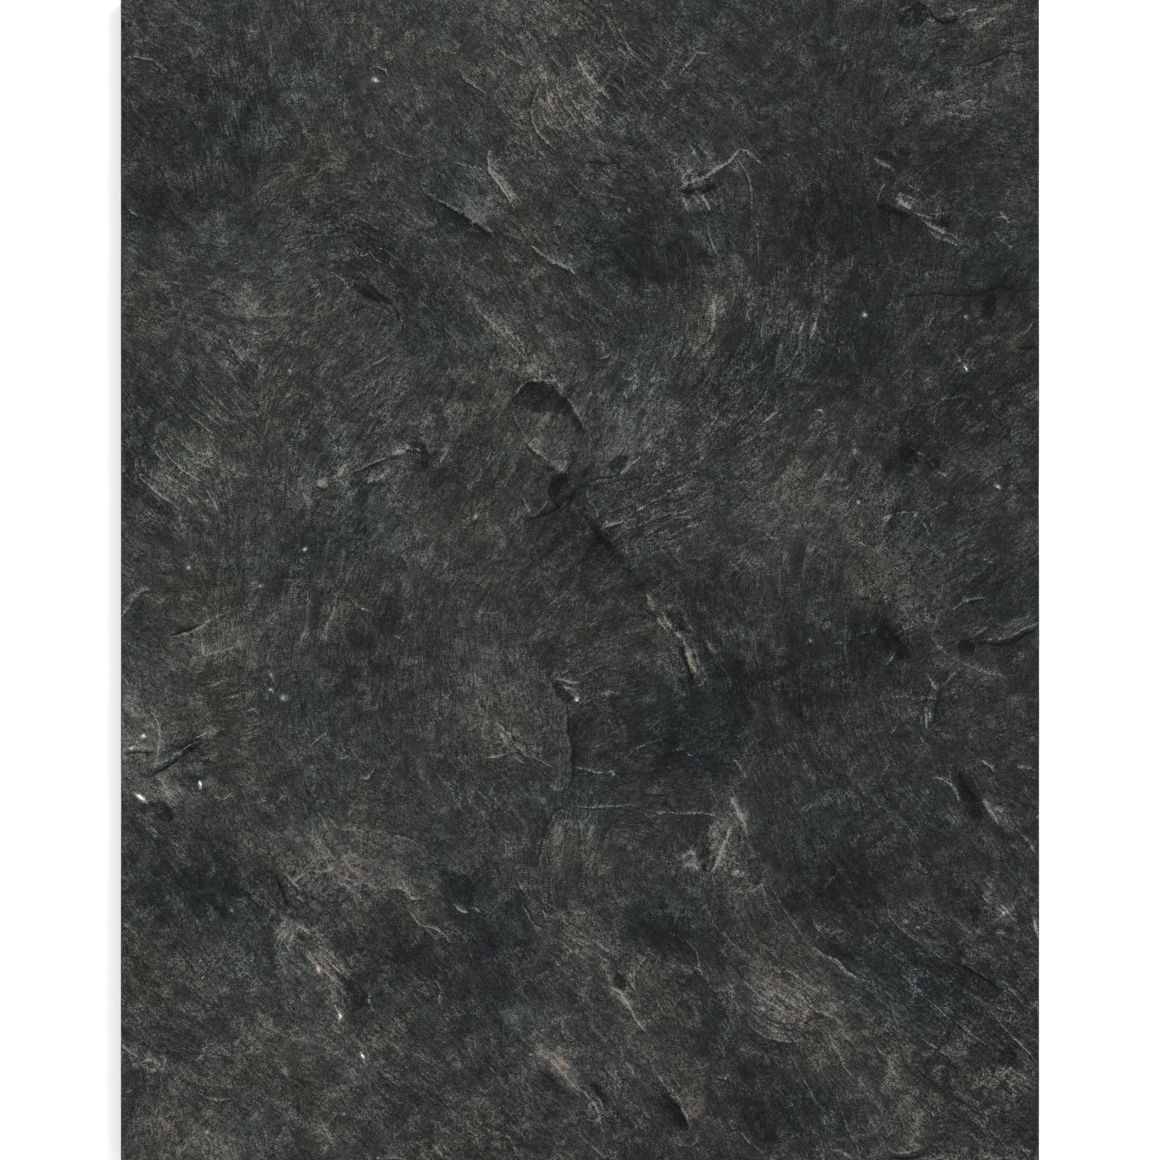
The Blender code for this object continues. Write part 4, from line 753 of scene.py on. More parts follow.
LINES_BOTTOM_LEFT = [
    (1.0, 0.2, 1.1, [(-193, -191), (-187, -197), (-182, -204)]),
    (0.9, 0.1, 1.0, [(-191, -201), (-184, -196), (-178, -191)]),
    (0.8, 0.1, 1.2, [(-176, -188), (-168, -190), (-160, -188)]),
    (-0.9, 0.0, 1.7, [(-200, -191), (-195, -202), (-190, -215)]),
    (1.0, 0.1, 1.3, [(-185, -205), (-180, -211)]),
    (0.6, 0.1, 0.9, [(-161, -195), (-152, -200), (-143, -198)]),
    (0.5, 0.1, 0.8, [(-157, -193), (-148, -197), (-141, -204)]),
    (0.5, 0.1, 0.8, [(-169, -205), (-160, -210)]),
    (1.0, 0.2, 1.1, [(-125, -200), (-118, -200), (-112, -204), (-108, -208), (-101, -208)]),
    (0.8, 0.1, 0.9, [(-117, -195), (-112, -202)]),
    (0.8, 0.1, 0.9, [(-111, -217), (-106, -224), (-99, -227)]),
    (0.6, 0.0, 0.7, [(-203, -233), (-197, -228), (-190, -221)]),
    (0.5, 0.0, 0.7, [(-201, -241), (-196, -232), (-192, -226)]),
    (0.6, 0.0, 0.7, [(-197, -239), (-190, -230), (-188, -223)]),
    (0.5, 0.0, 0.7, [(-191, -241), (-187, -232), (-184, -225)]),
    (0.8, 0.1, 0.8, [(-191, -222), (-183, -227), (-176, -232)]),
    (0.5, 0.0, 0.7, [(-194, -224), (-188, -229), (-182, -237), (-180, -243)]),
    (0.4, 0.1, 0.7, [(-201, -239), (-194, -243), (-187, -244)]),
    (0.6, 0.1, 0.8, [(-183, -239), (-176, -248), (-171, -255)]),
    (0.8, 0.1, 0.9, [(-171, -243), (-164, -250), (-158, -256), (-151, -263)]),
    (0.8, 0.1, 0.9, [(-173, -252), (-166, -257), (-158, -263), (-153, -267)]),
    (0.45, 0.1, 0.7, [(-176, -236), (-166, -242), (-158, -249)]),
    (0.6, 0.1, 0.9, [(-138, -269), (-138, -277), (-134, -285)]),
    (0.9, 0.1, 1.0, [(-161, -277), (-156, -284), (-158, -291)]),
    (0.4, 0.1, 0.7, [(-236, -249), (-231, -257)]),
    (0.4, 0.1, 0.8, [(-278, -267), (-273, -273), (-269, -269)]),
    (1.2, 0.1, 0.9, [(-144, -308), (-141, -316)]),
    (0.5, 0.1, 0.7, [(-165, -299), (-157, -306)]),
    (0.45, 0.1, 0.7, [(-206, -292), (-195, -296), (-187, -301)]),
    (0.35, 0.1, 0.7, [(-186, -295), (-172, -298), (-160, -303)]),
    (0.9, 0.0, 1.1, [(-300, -304), (-294, -308), (-288, -311)]),
    (1.2, 0.1, 1.6, [(-287, -314), (-280, -313), (-274, -316)]),
    (1.0, 0.1, 0.9, [(-276, -310), (-271, -312), (-273, -319)]),
    (0.8, 0.1, 1.3, [(-286, -318), (-279, -321), (-275, -317)]),
    (0.5, 0.1, 0.8, [(-257, -315), (-252, -314), (-247, -311), (-243, -305)]),
    (0.5, 0.1, 0.9, [(-248, -325), (-239, -327)]),
    (0.6, 0.2, 0.8, [(-250, -333), (-245, -338), (-238, -340), (-225, -339)]),
    (0.45, 0.1, 0.9, [(-297, -335), (-289, -329)]),
    (0.45, 0.1, 0.9, [(-289, -346), (-282, -339)]),
    (0.4, 0.1, 0.9, [(-279, -351), (-273, -343)]),
    (0.4, 0.1, 0.9, [(-293, -357), (-285, -350)]),
    (0.4, 0.1, 0.8, [(-251, -363), (-246, -372), (-244, -380)]),
    (0.4, 0.1, 0.8, [(-245, -361), (-238, -370), (-233, -379)]),
    (0.6, 0.1, 0.7, [(-169, -353), (-164, -364), (-159, -375)]),
    (0.5, 0.0, 0.7, [(-179, -358), (-168, -352)]),
    (0.4, 0.0, 0.6, [(-177, -363), (-166, -358)]),
    (0.4, 0.0, 0.6, [(-175, -369), (-164, -363)]),
    (0.4, 0.0, 0.6, [(-173, -375), (-161, -371)]),
    (0.7, 0.1, 1.0, [(-196, -319), (-191, -325)]),
    (0.4, 0.1, 0.7, [(-123, -285), (-117, -295)]),
    (0.4, 0.1, 0.7, [(-136, -330), (-126, -337), (-116, -343)]),
    (0.35, 0.1, 0.7, [(-114, -338), (-103, -350)]),
    (0.6, 0.1, 1.0, [(-137, -379), (-126, -378), (-115, -379)]),
    (0.5, 0.1, 0.9, [(-227, -208), (-221, -210), (-218, -205)]),
    (0.5, 0.1, 1.2, [(-300, -224), (-292, -228), (-289, -235)]),
]
LINES_BOTTOM_MIDDLE = [
    (0.9, 0.2, 1.0, [(-101, -226), (-94, -229), (-88, -233), (-83, -238)]),
    (0.5, 0.1, 0.8, [(-99, -232), (-91, -237)]),
    (1.2, 0.1, 1.2, [(-83, -212), (-78, -216), (-73, -217)]),
    (0.8, 0.1, 0.9, [(-71, -214), (-64, -217)]),
    (0.5, 0.1, 0.8, [(-41, -195), (-36, -204), (-31, -209)]),
    (0.8, 0.5, 0.8, [(-24, -229), (-30, -226), (-34, -220), (-38, -211)]),
    (0.5, 0.2, 0.7, [(-26, -209), (-19, -214), (-10, -217), (-1, -217)]),
    (0.4, 0.1, 0.7, [(-29, -214), (-21, -220), (-14, -223)]),
    (0.5, 0.1, 0.8, [(-15, -227), (-6, -234), (3, -239)]),
    (0.5, 0.1, 0.8, [(-6, -226), (3, -232), (12, -237), (23, -246)]),
    (0.45, 0.1, 0.8, [(-17, -235), (-6, -242), (2, -247), (11, -253)]),
    (0.45, 0.1, 0.8, [(-23, -243), (-12, -253), (-4, -262), (4, -269)]),
    (0.35, 0.1, 0.7, [(-14, -262), (-4, -268), (7, -272)]),
    (1.2, 0.2, 1.1, [(18, -266), (24, -268), (28, -271), (31, -277), (37, -288), (45, -298)]),
    (0.7, 0.0, 1.2, [(24, -270), (28, -275), (31, -281)]),
    (0.9, 0.1, 0.9, [(29, -257), (33, -263), (37, -269)]),
    (0.7, 0.1, 0.8, [(34, -253), (35, -261)]),
    (0.6, 0.1, 0.8, [(12, -264), (18, -267)]),
    (0.55, 0.2, 0.8, [(-8, -283), (-12, -289), (-11, -295), (-8, -300), (-4, -301)]),
    (0.4, 0.1, 0.8, [(5, -286), (8, -292), (14, -299)]),
    (0.6, 0.1, 1.0, [(-26, -310), (-14, -320), (-6, -328), (3, -336)]),
    (0.4, 0.1, 1.1, [(-22, -308), (-10, -316), (-2, -325)]),
    (-0.5, 0.0, 1.2, [(-29, -318), (-20, -327), (-12, -332)]),
    (1.1, 0.0, 1.2, [(3, -334), (8, -340), (12, -347), (15, -357)]),
    (0.8, 0.0, 0.9, [(8, -337), (14, -341), (15, -347)]),
    (0.9, 0.0, 0.9, [(5, -341), (10, -351)]),
    (0.8, 0.0, 1.3, [(50, -321), (54, -328), (59, -335), (64, -341), (69, -350), (76, -363)]),
    (0.5, 0.0, 0.9, [(56, -328), (63, -337), (69, -346)]),
    (0.5, 0.1, 0.8, [(60, -231), (69, -237), (77, -244)]),
    (0.95, 0.1, 0.9, [(76, -242), (78, -248), (77, -253), (80, -259)]),
    (0.5, 0.1, 0.8, [(78, -251), (73, -257)]),
    (0.7, 0.2, 1.0, [(89, -325), (95, -326), (101, -328)]),
    (0.6, 0.1, 0.9, [(91, -331), (97, -323)]),
    (0.8, 0.1, 0.8, [(-95, -261), (-91, -268), (-93, -274), (-90, -281)]),
    (0.4, 0.1, 0.7, [(-76, -301), (-70, -312), (-66, -321)]),
    (0.35, 0.1, 0.7, [(-61, -317), (-54, -324), (-47, -334)]),
    (0.35, 0.1, 0.7, [(-87, -349), (-76, -358), (-65, -364)]),
    (0.8, 0.2, 0.9, [(-49, -361), (-44, -368), (-40, -376)]),
    (0.5, 0.1, 0.8, [(-57, -360), (-48, -364), (-41, -363)]),
    (0.5, 0.1, 0.8, [(-41, -371), (-34, -379)]),
    (1.0, 0.1, 1.3, [(-95, -369), (-90, -376), (-83, -380)]),
    (0.7, 0.1, 1.0, [(-89, -369), (-83, -376)]),
    (0.55, 0.1, 0.8, [(-3, -360), (4, -366), (10, -372), (17, -380)]),
    (0.4, 0.1, 0.8, [(4, -361), (13, -371)]),
    (0.45, 0.1, 0.8, [(29, -339), (38, -346), (47, -353)]),
    (0.35, 0.1, 0.8, [(33, -350), (45, -358)]),
    (0.5, 0.2, 0.8, [(59, -367), (66, -370), (73, -371), (78, -365)]),
    (0.35, 0.1, 0.7, [(-86, -224), (-78, -232), (-70, -242)]),
    (0.4, 0.1, 0.9, [(-73, -241), (-70, -249)]),
    (0.4, 0.1, 0.8, [(83, -262), (90, -270), (96, -279)]),
]
LINES_BOTTOM_RIGHT = [
    (1.0, 0.0, 1.6, [(97, -191), (103, -193), (108, -190)]),
    (0.4, 0.1, 0.8, [(111, -190), (118, -200), (122, -212), (130, -226)]),
    (0.4, 0.1, 0.8, [(105, -196), (110, -210), (117, -226)]),
    (0.5, 0.1, 0.8, [(119, -191), (128, -205), (136, -220), (147, -235)]),
    (0.8, 0.1, 0.8, [(159, -203), (164, -196), (169, -191)]),
    (0.4, 0.1, 0.7, [(149, -217), (157, -231)]),
    (0.7, 0.4, 1.1, [(193, -262), (184, -261), (178, -259), (173, -255), (168, -249),
                     (160, -245), (145, -235)]),
    (0.4, 0.0, 1.3, [(161, -246), (168, -250), (173, -257)]),
    (0.6, 0.2, 0.8, [(203, -220), (210, -228), (216, -234), (223, -238)]),
    (0.5, 0.1, 0.7, [(201, -208), (202, -215), (203, -222)]),
    (0.6, 0.3, 0.9, [(104, -282), (112, -291), (120, -297), (130, -300), (142, -301), (149, -297)]),
    (0.5, 0.2, 0.9, [(109, -279), (118, -288), (128, -294), (141, -296)]),
    (0.45, 0.2, 0.8, [(115, -280), (124, -288), (134, -292), (147, -292)]),
    (0.6, 0.1, 0.8, [(121, -265), (132, -273), (142, -279), (151, -286)]),
    (0.45, 0.1, 0.8, [(127, -261), (140, -270), (150, -278), (159, -285)]),
    (0.5, 0.1, 0.8, [(113, -267), (124, -275), (134, -282), (145, -289)]),
    (0.4, 0.1, 0.8, [(105, -261), (116, -270), (125, -277)]),
    (0.4, 0.1, 0.8, [(129, -251), (142, -260), (154, -268), (161, -273)]),
    (0.35, 0.1, 0.8, [(103, -250), (114, -256), (124, -263)]),
    (-0.5, 0.0, 0.9, [(117, -284), (130, -289), (142, -289), (152, -285)]),
    (-0.6, 0.0, 0.9, [(145, -291), (152, -287), (161, -285)]),
    (0.7, 0.1, 1.4, [(151, -289), (160, -292), (167, -288)]),
    (0.6, 0.1, 1.2, [(153, -281), (160, -283), (166, -286)]),
    (0.5, 0.1, 0.8, [(161, -290), (164, -300), (168, -309), (173, -318), (179, -328)]),
    (0.7, 0.1, 0.8, [(143, -321), (149, -331), (154, -339), (160, -347), (165, -351)]),
    (0.4, 0.1, 0.7, [(139, -311), (144, -322)]),
    (0.6, 0.1, 0.8, [(170, -344), (174, -355), (178, -366), (183, -378)]),
    (0.35, 0.1, 0.7, [(157, -317), (166, -334), (173, -349)]),
    (0.35, 0.1, 0.7, [(185, -329), (194, -344), (200, -356)]),
    (0.9, 0.2, 0.9, [(162, -372), (170, -374), (179, -380)]),
    (0.4, 0.1, 0.8, [(149, -373), (160, -372)]),
    (-1.1, 0.0, 1.2, [(201, -377), (210, -379), (220, -378), (227, -373)]),
    (0.6, 0.0, 0.9, [(199, -371), (206, -375), (214, -375), (223, -371)]),
    (0.5, 0.1, 0.7, [(215, -263), (226, -273), (236, -282), (247, -291)]),
    (0.6, 0.1, 0.8, [(240, -283), (252, -293), (262, -301), (270, -309)]),
    (0.8, 0.2, 0.8, [(221, -298), (230, -304), (238, -310)]),
    (0.45, 0.1, 0.7, [(237, -257), (250, -268), (262, -276), (274, -281), (289, -282)]),
    (-1.1, 0.0, 1.0, [(242, -248), (252, -254), (262, -260), (270, -265), (279, -269)]),
    (0.5, 0.0, 0.7, [(249, -249), (258, -255), (269, -262)]),
    (0.7, 0.2, 0.8, [(275, -261), (282, -268), (291, -278)]),
    (-0.7, 0.0, 0.8, [(284, -264), (293, -276)]),
    (0.9, 0.2, 0.8, [(271, -286), (280, -296), (288, -304), (298, -314)]),
    (0.5, 0.1, 0.7, [(285, -301), (294, -310), (300, -319)]),
    (0.4, 0.1, 0.7, [(200, -250), (214, -262), (228, -272)]),
    (0.4, 0.1, 0.7, [(190, -270), (204, -282), (216, -293)]),
    (0.7, 0.2, 0.9, [(261, -205), (270, -212), (279, -219)]),
    (0.7, 0.2, 0.9, [(275, -211), (280, -218), (285, -225)]),
    (0.5, 0.1, 0.9, [(283, -225), (288, -231)]),
    (0.5, 0.1, 0.9, [(263, -195), (269, -201)]),
    (0.45, 0.1, 0.9, [(289, -199), (297, -207)]),
    (1.0, 0.1, 1.4, [(296, -221), (300, -233)]),
    (0.45, 0.1, 0.8, [(257, -227), (265, -233)]),
    (0.6, 0.1, 0.9, [(283, -317), (276, -324), (283, -331)]),
    (0.5, 0.1, 0.9, [(257, -317), (265, -325)]),
    (0.6, 0.1, 0.9, [(253, -361), (263, -369)]),
    (0.6, 0.1, 0.9, [(267, -359), (277, -369)]),
    (0.7, 0.1, 1.0, [(283, -372), (293, -373)]),
    (0.7, 0.1, 1.1, [(267, -378), (281, -377)]),
    (0.6, 0.1, 1.0, [(231, -380), (238, -375)]),
    (0.6, 0.1, 0.9, [(104, -359), (112, -368), (119, -372)]),
    (0.35, 0.1, 0.8, [(199, -334), (210, -345), (221, -353)]),
    (0.35, 0.1, 0.8, [(190, -300), (200, -312), (206, -326)]),
]

# Small shapes with a crisp outline: tone, warmth and the outline. Black hollows, dark partly
# as darker stone and partly as painted shade, and pale blobs.
POCKETS = [
    (-0.54, -0.30, [(-47, 117), (-42, 121), (-37, 127), (-33, 129), (-21, 129), (-17, 127),
                    (-12, 121), (-7, 116), (-5, 111), (-10, 109), (-16, 111), (-24, 110),
                    (-32, 110), (-38, 114)]),
    (-0.45, -0.20, [(-8, 109), (-4, 110), (0, 103), (3, 97), (1, 94), (-4, 99)]),
    (0.50, 0.35, [(-36, 138), (-32, 143), (-26, 142), (-29, 138), (-33, 136)]),
    (0.35, 0.20, [(-31, 93), (-27, 95), (-25, 90), (-28, 86), (-31, 89)]),
    (0.60, 0.40, [(-20, 76), (-15, 79), (-9, 78), (-8, 73), (-12, 70), (-17, 72)]),
    (-0.60, -0.20, [(-22, 74), (-18, 73), (-18, 71), (-22, 70)]),
    (-0.56, -0.15, [(-18, 68), (-13, 71), (-8, 68), (-6, 62), (-3, 58), (-6, 53), (-10, 51),
                    (-14, 48), (-17, 50), (-20, 54), (-19, 60)]),
    (0.28, 0.00, [(0, 59), (3, 62), (8, 61), (9, 55), (5, 52), (1, 55)]),
    (-0.55, -0.15, [(20, 72), (26, 72), (32, 77), (31, 81), (25, 80), (20, 77)]),
    (-0.36, -0.10, [(2, 46), (6, 42), (10, 37), (13, 32), (17, 29), (21, 24), (23, 19), (20, 19),
                    (15, 24), (10, 29), (6, 34), (2, 40)]),
    (-0.66, -0.10, [(64, 256), (70, 255.5), (78, 257.5), (86, 261), (91, 258), (84, 254),
                    (76, 252), (67, 252.5)]),
    (-0.70, 0.00, [(75, 264), (78, 267), (84, 269), (88, 269), (84, 265.5), (79, 263.5)]),
    (-0.60, -0.10, [(193, 247), (200, 244), (207, 241), (214, 239), (221, 236), (217, 235),
                    (208, 237), (199, 240), (194, 243)]),
    (-0.70, -0.10, [(229, 236), (236, 234), (243, 233), (240, 230), (233, 231)]),
    (-0.55, -0.15, [(212, 360), (210, 368), (214, 374), (220, 378), (226, 376), (228, 368),
                    (222, 362)]),
    (-0.50, -0.10, [(192, 277), (197, 280), (203, 279), (207, 274), (200, 273)]),
    (-0.50, -0.15, [(262, 171), (263, 180), (268, 186), (272, 184), (271, 176), (268, 170)]),
    (-0.40, -0.10, [(208, 87), (214, 86), (219, 81), (222, 76), (216, 76), (209, 80)]),
    (-0.45, -0.10, [(226, 76), (231, 80), (237, 76), (236, 71), (230, 72)]),
    (-0.50, -0.20, [(-149, 197), (-145, 200), (-139, 196), (-133, 189), (-124, 185), (-120, 181),
                    (-132, 182), (-142, 186), (-148, 191)]),
    (-0.50, -0.10, [(-104, 90), (-101, 88), (-99, 78), (-101, 70), (-104, 74)]),
    (-0.50, -0.10, [(-113, 90), (-107, 90), (-103, 86), (-108, 83)]),
    (-0.45, -0.10, [(-68, 191), (-63, 189), (-60, 182), (-65, 183)]),
    (0.30, 0.35, [(-219, 356), (-214, 360), (-209, 357), (-212, 352), (-217, 352)]),
    (0.28, 0.30, [(29, 279), (33, 281), (37, 277), (36, 271), (31, 271)]),
    (0.30, 0.45, [(177, 86), (182, 87), (185, 82), (182, 77), (178, 79)]),
    (-0.45, -0.10, [(-131, 333), (-128, 333), (-127, 329), (-131, 330)]),
    (0.80, 0.30, [(-137, 331), (-132, 326), (-126, 326), (-130, 324), (-136, 324)]),
    (-0.50, 0.00, [(58, -18), (62, -22), (64, -30), (67, -35), (61, -34), (58, -27)]),
    (0.30, 0.35, [(68, -41), (72, -44), (75, -50), (77, -57), (73, -60), (70, -54), (68, -47)]),
    (-0.60, 0.00, [(70, -52), (73, -53), (72, -56), (70, -55)]),
    (-0.50, 0.00, [(70, -58), (73, -62), (76, -70), (72, -69), (69, -63)]),
    (-0.55, 0.00, [(-21, -59), (-16, -62), (-14, -67), (-10, -71), (-6, -74), (-5, -79),
                   (-11, -80), (-14, -74), (-17, -68)]),
    (-0.55, 0.00, [(81, -167), (84, -171), (84, -182), (82, -192), (79, -190), (79, -176)]),
    (0.35, 0.20, [(66, -181), (71, -176), (76, -178), (79, -184), (77, -191), (68, -190)]),
    (-0.40, -0.10, [(-268, -108), (-262, -104), (-254, -104), (-250, -108), (-258, -113)]),
    (-0.50, -0.15, [(-280, -147), (-274, -144), (-268, -148), (-264, -154), (-270, -158),
                    (-276, -155)]),
    (0.25, 0.30, [(-291, -100), (-286, -98), (-282, -102), (-285, -106), (-291, -105)]),
    (-0.52, -0.10, [(193, -18), (197, -25), (201, -32), (206, -37), (211, -42), (216, -47),
                    (216, -51), (209, -50), (203, -46), (198, -40), (194, -33), (192, -25)]),
    (0.32, 0.22, [(206, -51), (212, -52), (218, -56), (214, -61), (206, -58)]),
    (-0.45, -0.05, [(246, -42), (252, -39), (257, -43), (256, -49), (250, -50), (246, -48)]),
    (-0.44, -0.10, [(243, -121), (247, -126), (251, -131), (256, -138), (260, -146),
                    (264, -154), (260, -156), (254, -151), (250, -144), (247, -138),
                    (244, -130)]),
    (-0.24, -0.25, [(-81, -190), (-74, -194), (-69, -203), (-73, -214), (-80, -210), (-85, -200)]),
    (-0.32, -0.10, [(-152, -262), (-145, -264), (-140, -270), (-142, -280), (-150, -283),
                    (-154, -275)]),
    (0.30, 0.30, [(-261, -323), (-256, -322), (-249, -323), (-248, -327), (-256, -328),
                  (-261, -326)]),
    (0.20, 0.30, [(-178, -210), (-172, -209), (-170, -216), (-174, -220), (-178, -216)]),
    (-0.60, -0.10, [(20, -261), (25, -256), (30, -263), (29, -269), (24, -267)]),
    (-0.50, -0.10, [(7, -329), (12, -331), (18, -339), (17, -344), (13, -339)]),
    (-0.45, -0.10, [(57, -336), (62, -342), (68, -351), (74, -363), (66, -359), (60, -350),
                    (56, -342)]),
    (-0.40, -0.10, [(274, -308), (282, -306), (286, -313), (280, -319), (274, -315)]),
    (-0.50, -0.10, [(255, -214), (260, -212), (263, -218), (258, -222)]),
    (0.25, 0.35, [(130, -279), (140, -281), (150, -286), (146, -291), (134, -289), (126, -284)]),
    (0.60, 0.40, [(-173, 62), (-170, 68), (-165, 67), (-166, 62)]),
    (0.45, 0.35, [(-160, 66), (-156, 72), (-151, 73), (-152, 67)]),
    (0.60, 0.40, [(-122, 81), (-121, 86), (-116, 86), (-116, 82)]),
    (0.32, 0.35, [(-136, 64), (-130, 70), (-124, 70), (-128, 64)]),
]

# Broad soft strokes beside the ledges and folds: tone, warmth, half width and the line. The
# dark ones are painted shade beside the breaks, partly darker stone; the pale ones are pale
# stone, partly painted light.
SOFT_LINES = [
    (0.38, 0.05, 4.0, [(-90, 251), (-78, 245), (-66, 237), (-54, 230)]),
    (-0.30, -0.15, 4.5, [(-99, 243), (-88, 236), (-76, 231), (-66, 225), (-57, 219)]),
    (-0.25, -0.10, 4.0, [(2, 196), (10, 202), (20, 206)]),
    (0.40, 0.05, 3.0, [(-58, 278), (-57, 268), (-52, 259), (-46, 251), (-42, 244)]),
    (0.30, 0.30, 3.5, [(-4, 344), (2, 332), (10, 322), (18, 314)]),
    (0.18, 0.30, 3.6, [(-86, 191), (-74, 186), (-64, 177), (-54, 165), (-45, 155), (-31, 141)]),
    (0.16, 0.25, 6.0, [(-24, 140), (-10, 136), (2, 134)]),
    (0.20, 0.34, 4.5, [(-274, 106), (-266, 96), (-256, 88), (-246, 82), (-232, 77)]),
    (0.22, 0.30, 5.0, [(-284, 70), (-270, 62), (-258, 54), (-244, 50)]),
    (0.24, 0.30, 4.0, [(-142, 64), (-131, 68), (-121, 75)]),
    (-0.18, -0.10, 3.5, [(-300, 60), (-294, 60), (-286, 54), (-276, 46), (-266, 40)]),
    (-0.25, -0.20, 5.0, [(-148, 58), (-136, 64), (-126, 66)]),
    (-0.30, -0.15, 3.0, [(22, 20), (27, 14), (31, 8)]),
    (0.22, 0.20, 3.5, [(86, 160), (87, 172), (90, 186)]),
    (-0.22, -0.15, 4.0, [(62, 142), (74, 149), (88, 157)]),
    (0.30, 0.20, 4.0, [(204, 252), (213, 248), (224, 242)]),
    (0.24, 0.10, 4.0, [(226, 230), (240, 223), (254, 217)]),
    (-0.30, 0.00, 4.0, [(192, 241), (204, 236), (216, 231), (226, 225)]),
    (0.22, 0.20, 5.0, [(66, 248), (76, 246), (86, 246)]),
    (0.30, 0.30, 4.0, [(68, 266), (74, 274)]),
    (0.20, 0.15, 4.0, [(-229, 157), (-221, 147), (-206, 143)]),
    (0.15, 0.10, 4.0, [(-254, 132), (-240, 118), (-226, 108)]),
    (0.28, 0.25, 3.5, [(-300, -28), (-295, -20), (-290, -10), (-284, -4)]),
    (-0.25, -0.10, 4.0, [(-294, -30), (-288, -20), (-283, -10)]),
    (0.22, 0.10, 2.6, [(-177, -2), (-178, -15), (-180, -30), (-178, -46)]),
    (-0.28, -0.10, 3.0, [(-171, -6), (-173, -28), (-181, -50)]),
    (0.24, 0.10, 2.8, [(-163, -8), (-162, -24), (-168, -40), (-174, -48)]),
    (0.30, 0.45, 4.5, [(-278, -124), (-270, -134), (-260, -148)]),
    (-0.30, -0.10, 5.0, [(-272, -112), (-256, -112), (-240, -108)]),
    (0.22, 0.20, 4.0, [(-166, -158), (-150, -166), (-130, -167), (-104, -175)]),
    (0.35, 0.25, 4.0, [(42, -4), (50, -20), (58, -36), (66, -42)]),
    (-0.30, 0.00, 4.5, [(60, -20), (68, -30), (78, -40)]),
    (-0.30, -0.10, 4.0, [(60, -44), (66, -58), (72, -72)]),
    (-0.38, 0.20, 5.0, [(-30, -44), (-25, -53), (-17, -62)]),
    (-0.28, -0.10, 5.0, [(-2, -80), (-2, -110), (-1, -138)]),
    (0.28, 0.05, 5.0, [(-16, -112), (-15, -137)]),
    (-0.32, -0.10, 5.0, [(-22, -148), (-27, -166), (-33, -190)]),
    (0.28, 0.20, 4.0, [(-12, -154), (-14, -168), (-16, -186)]),
    (0.40, 0.30, 4.5, [(90, -158), (92, -168), (86, -180)]),
    (0.18, 0.15, 4.0, [(-70, -98), (-58, -96), (-48, -104)]),
    (0.25, 0.10, 4.0, [(-60, -112), (-44, -112), (-34, -118)]),
    (0.30, 0.25, 4.0, [(96, -140), (103, -152), (108, -164)]),
    (-0.18, -0.10, 5.0, [(184, -47), (195, -43), (204, -46)]),
    (0.30, 0.30, 4.0, [(262, -36), (278, -33), (292, -27), (300, -24)]),
    (-0.25, 0.00, 4.0, [(266, -48), (284, -46), (300, -40)]),
    (0.25, 0.10, 5.0, [(228, -36), (238, -46), (248, -56), (276, -64)]),
    (-0.30, 0.00, 4.0, [(233, -74), (235, -88), (232, -99)]),
    (0.30, 0.20, 4.0, [(264, -138), (270, -150), (276, -162)]),
    (0.20, 0.10, 4.0, [(246, -108), (252, -122), (257, -132)]),
    (0.25, 0.10, 3.0, [(284, -123), (300, -124)]),
    (0.35, 0.30, 5.0, [(-294, -312), (-284, -316), (-270, -316)]),
    (0.25, 0.20, 4.5, [(-204, -224), (-190, -230), (-176, -238)]),
    (0.30, 0.25, 5.0, [(-180, -242), (-168, -250), (-154, -262)]),
    (0.25, 0.20, 6.0, [(-170, -352), (-166, -364), (-162, -378)]),
    (0.25, 0.05, 4.0, [(-100, -194), (-93, -202), (-87, -218)]),
    (-0.35, -0.15, 3.5, [(-40, -198), (-39, -214), (-34, -230)]),
    (0.35, 0.20, 3.0, [(19, -267), (26, -271), (32, -280)]),
    (0.50, 0.00, 7.0, [(-31, -303), (-20, -312), (-10, -321), (3, -334)]),
    (-0.30, -0.10, 4.0, [(-32, -318), (-22, -328), (-10, -336)]),
    (0.25, 0.30, 6.0, [(54, -318), (64, -328), (74, -344), (78, -356)]),
    (-0.32, -0.10, 4.5, [(50, -332), (58, -345), (68, -360)]),
    (0.25, 0.20, 5.0, [(102, -196), (106, -220), (118, -244)]),
    (0.20, 0.10, 3.5, [(146, -237), (160, -247), (172, -257), (188, -264)]),
    (-0.30, -0.10, 4.5, [(160, -238), (170, -243), (182, -252)]),
    (-0.32, -0.10, 5.0, [(112, -300), (128, -306), (146, -306), (160, -300)]),
    (0.20, 0.20, 4.0, [(106, -284), (120, -295), (142, -299)]),
    (-0.25, 0.00, 4.0, [(236, -250), (256, -262), (276, -274)]),
    (-0.14, 0.00, 5.0, [(132, -318), (142, -334), (156, -352)]),
    (0.22, 0.15, 5.0, [(262, -198), (274, -208), (288, -220)]),
]
NAMED_LINES = (LINES_TOP_LEFT + LINES_TOP_MIDDLE + LINES_TOP_RIGHT + LINES_LEFT + LINES_MIDDLE
               + LINES_RIGHT + LINES_BOTTOM_LEFT + LINES_BOTTOM_MIDDLE + LINES_BOTTOM_RIGHT)

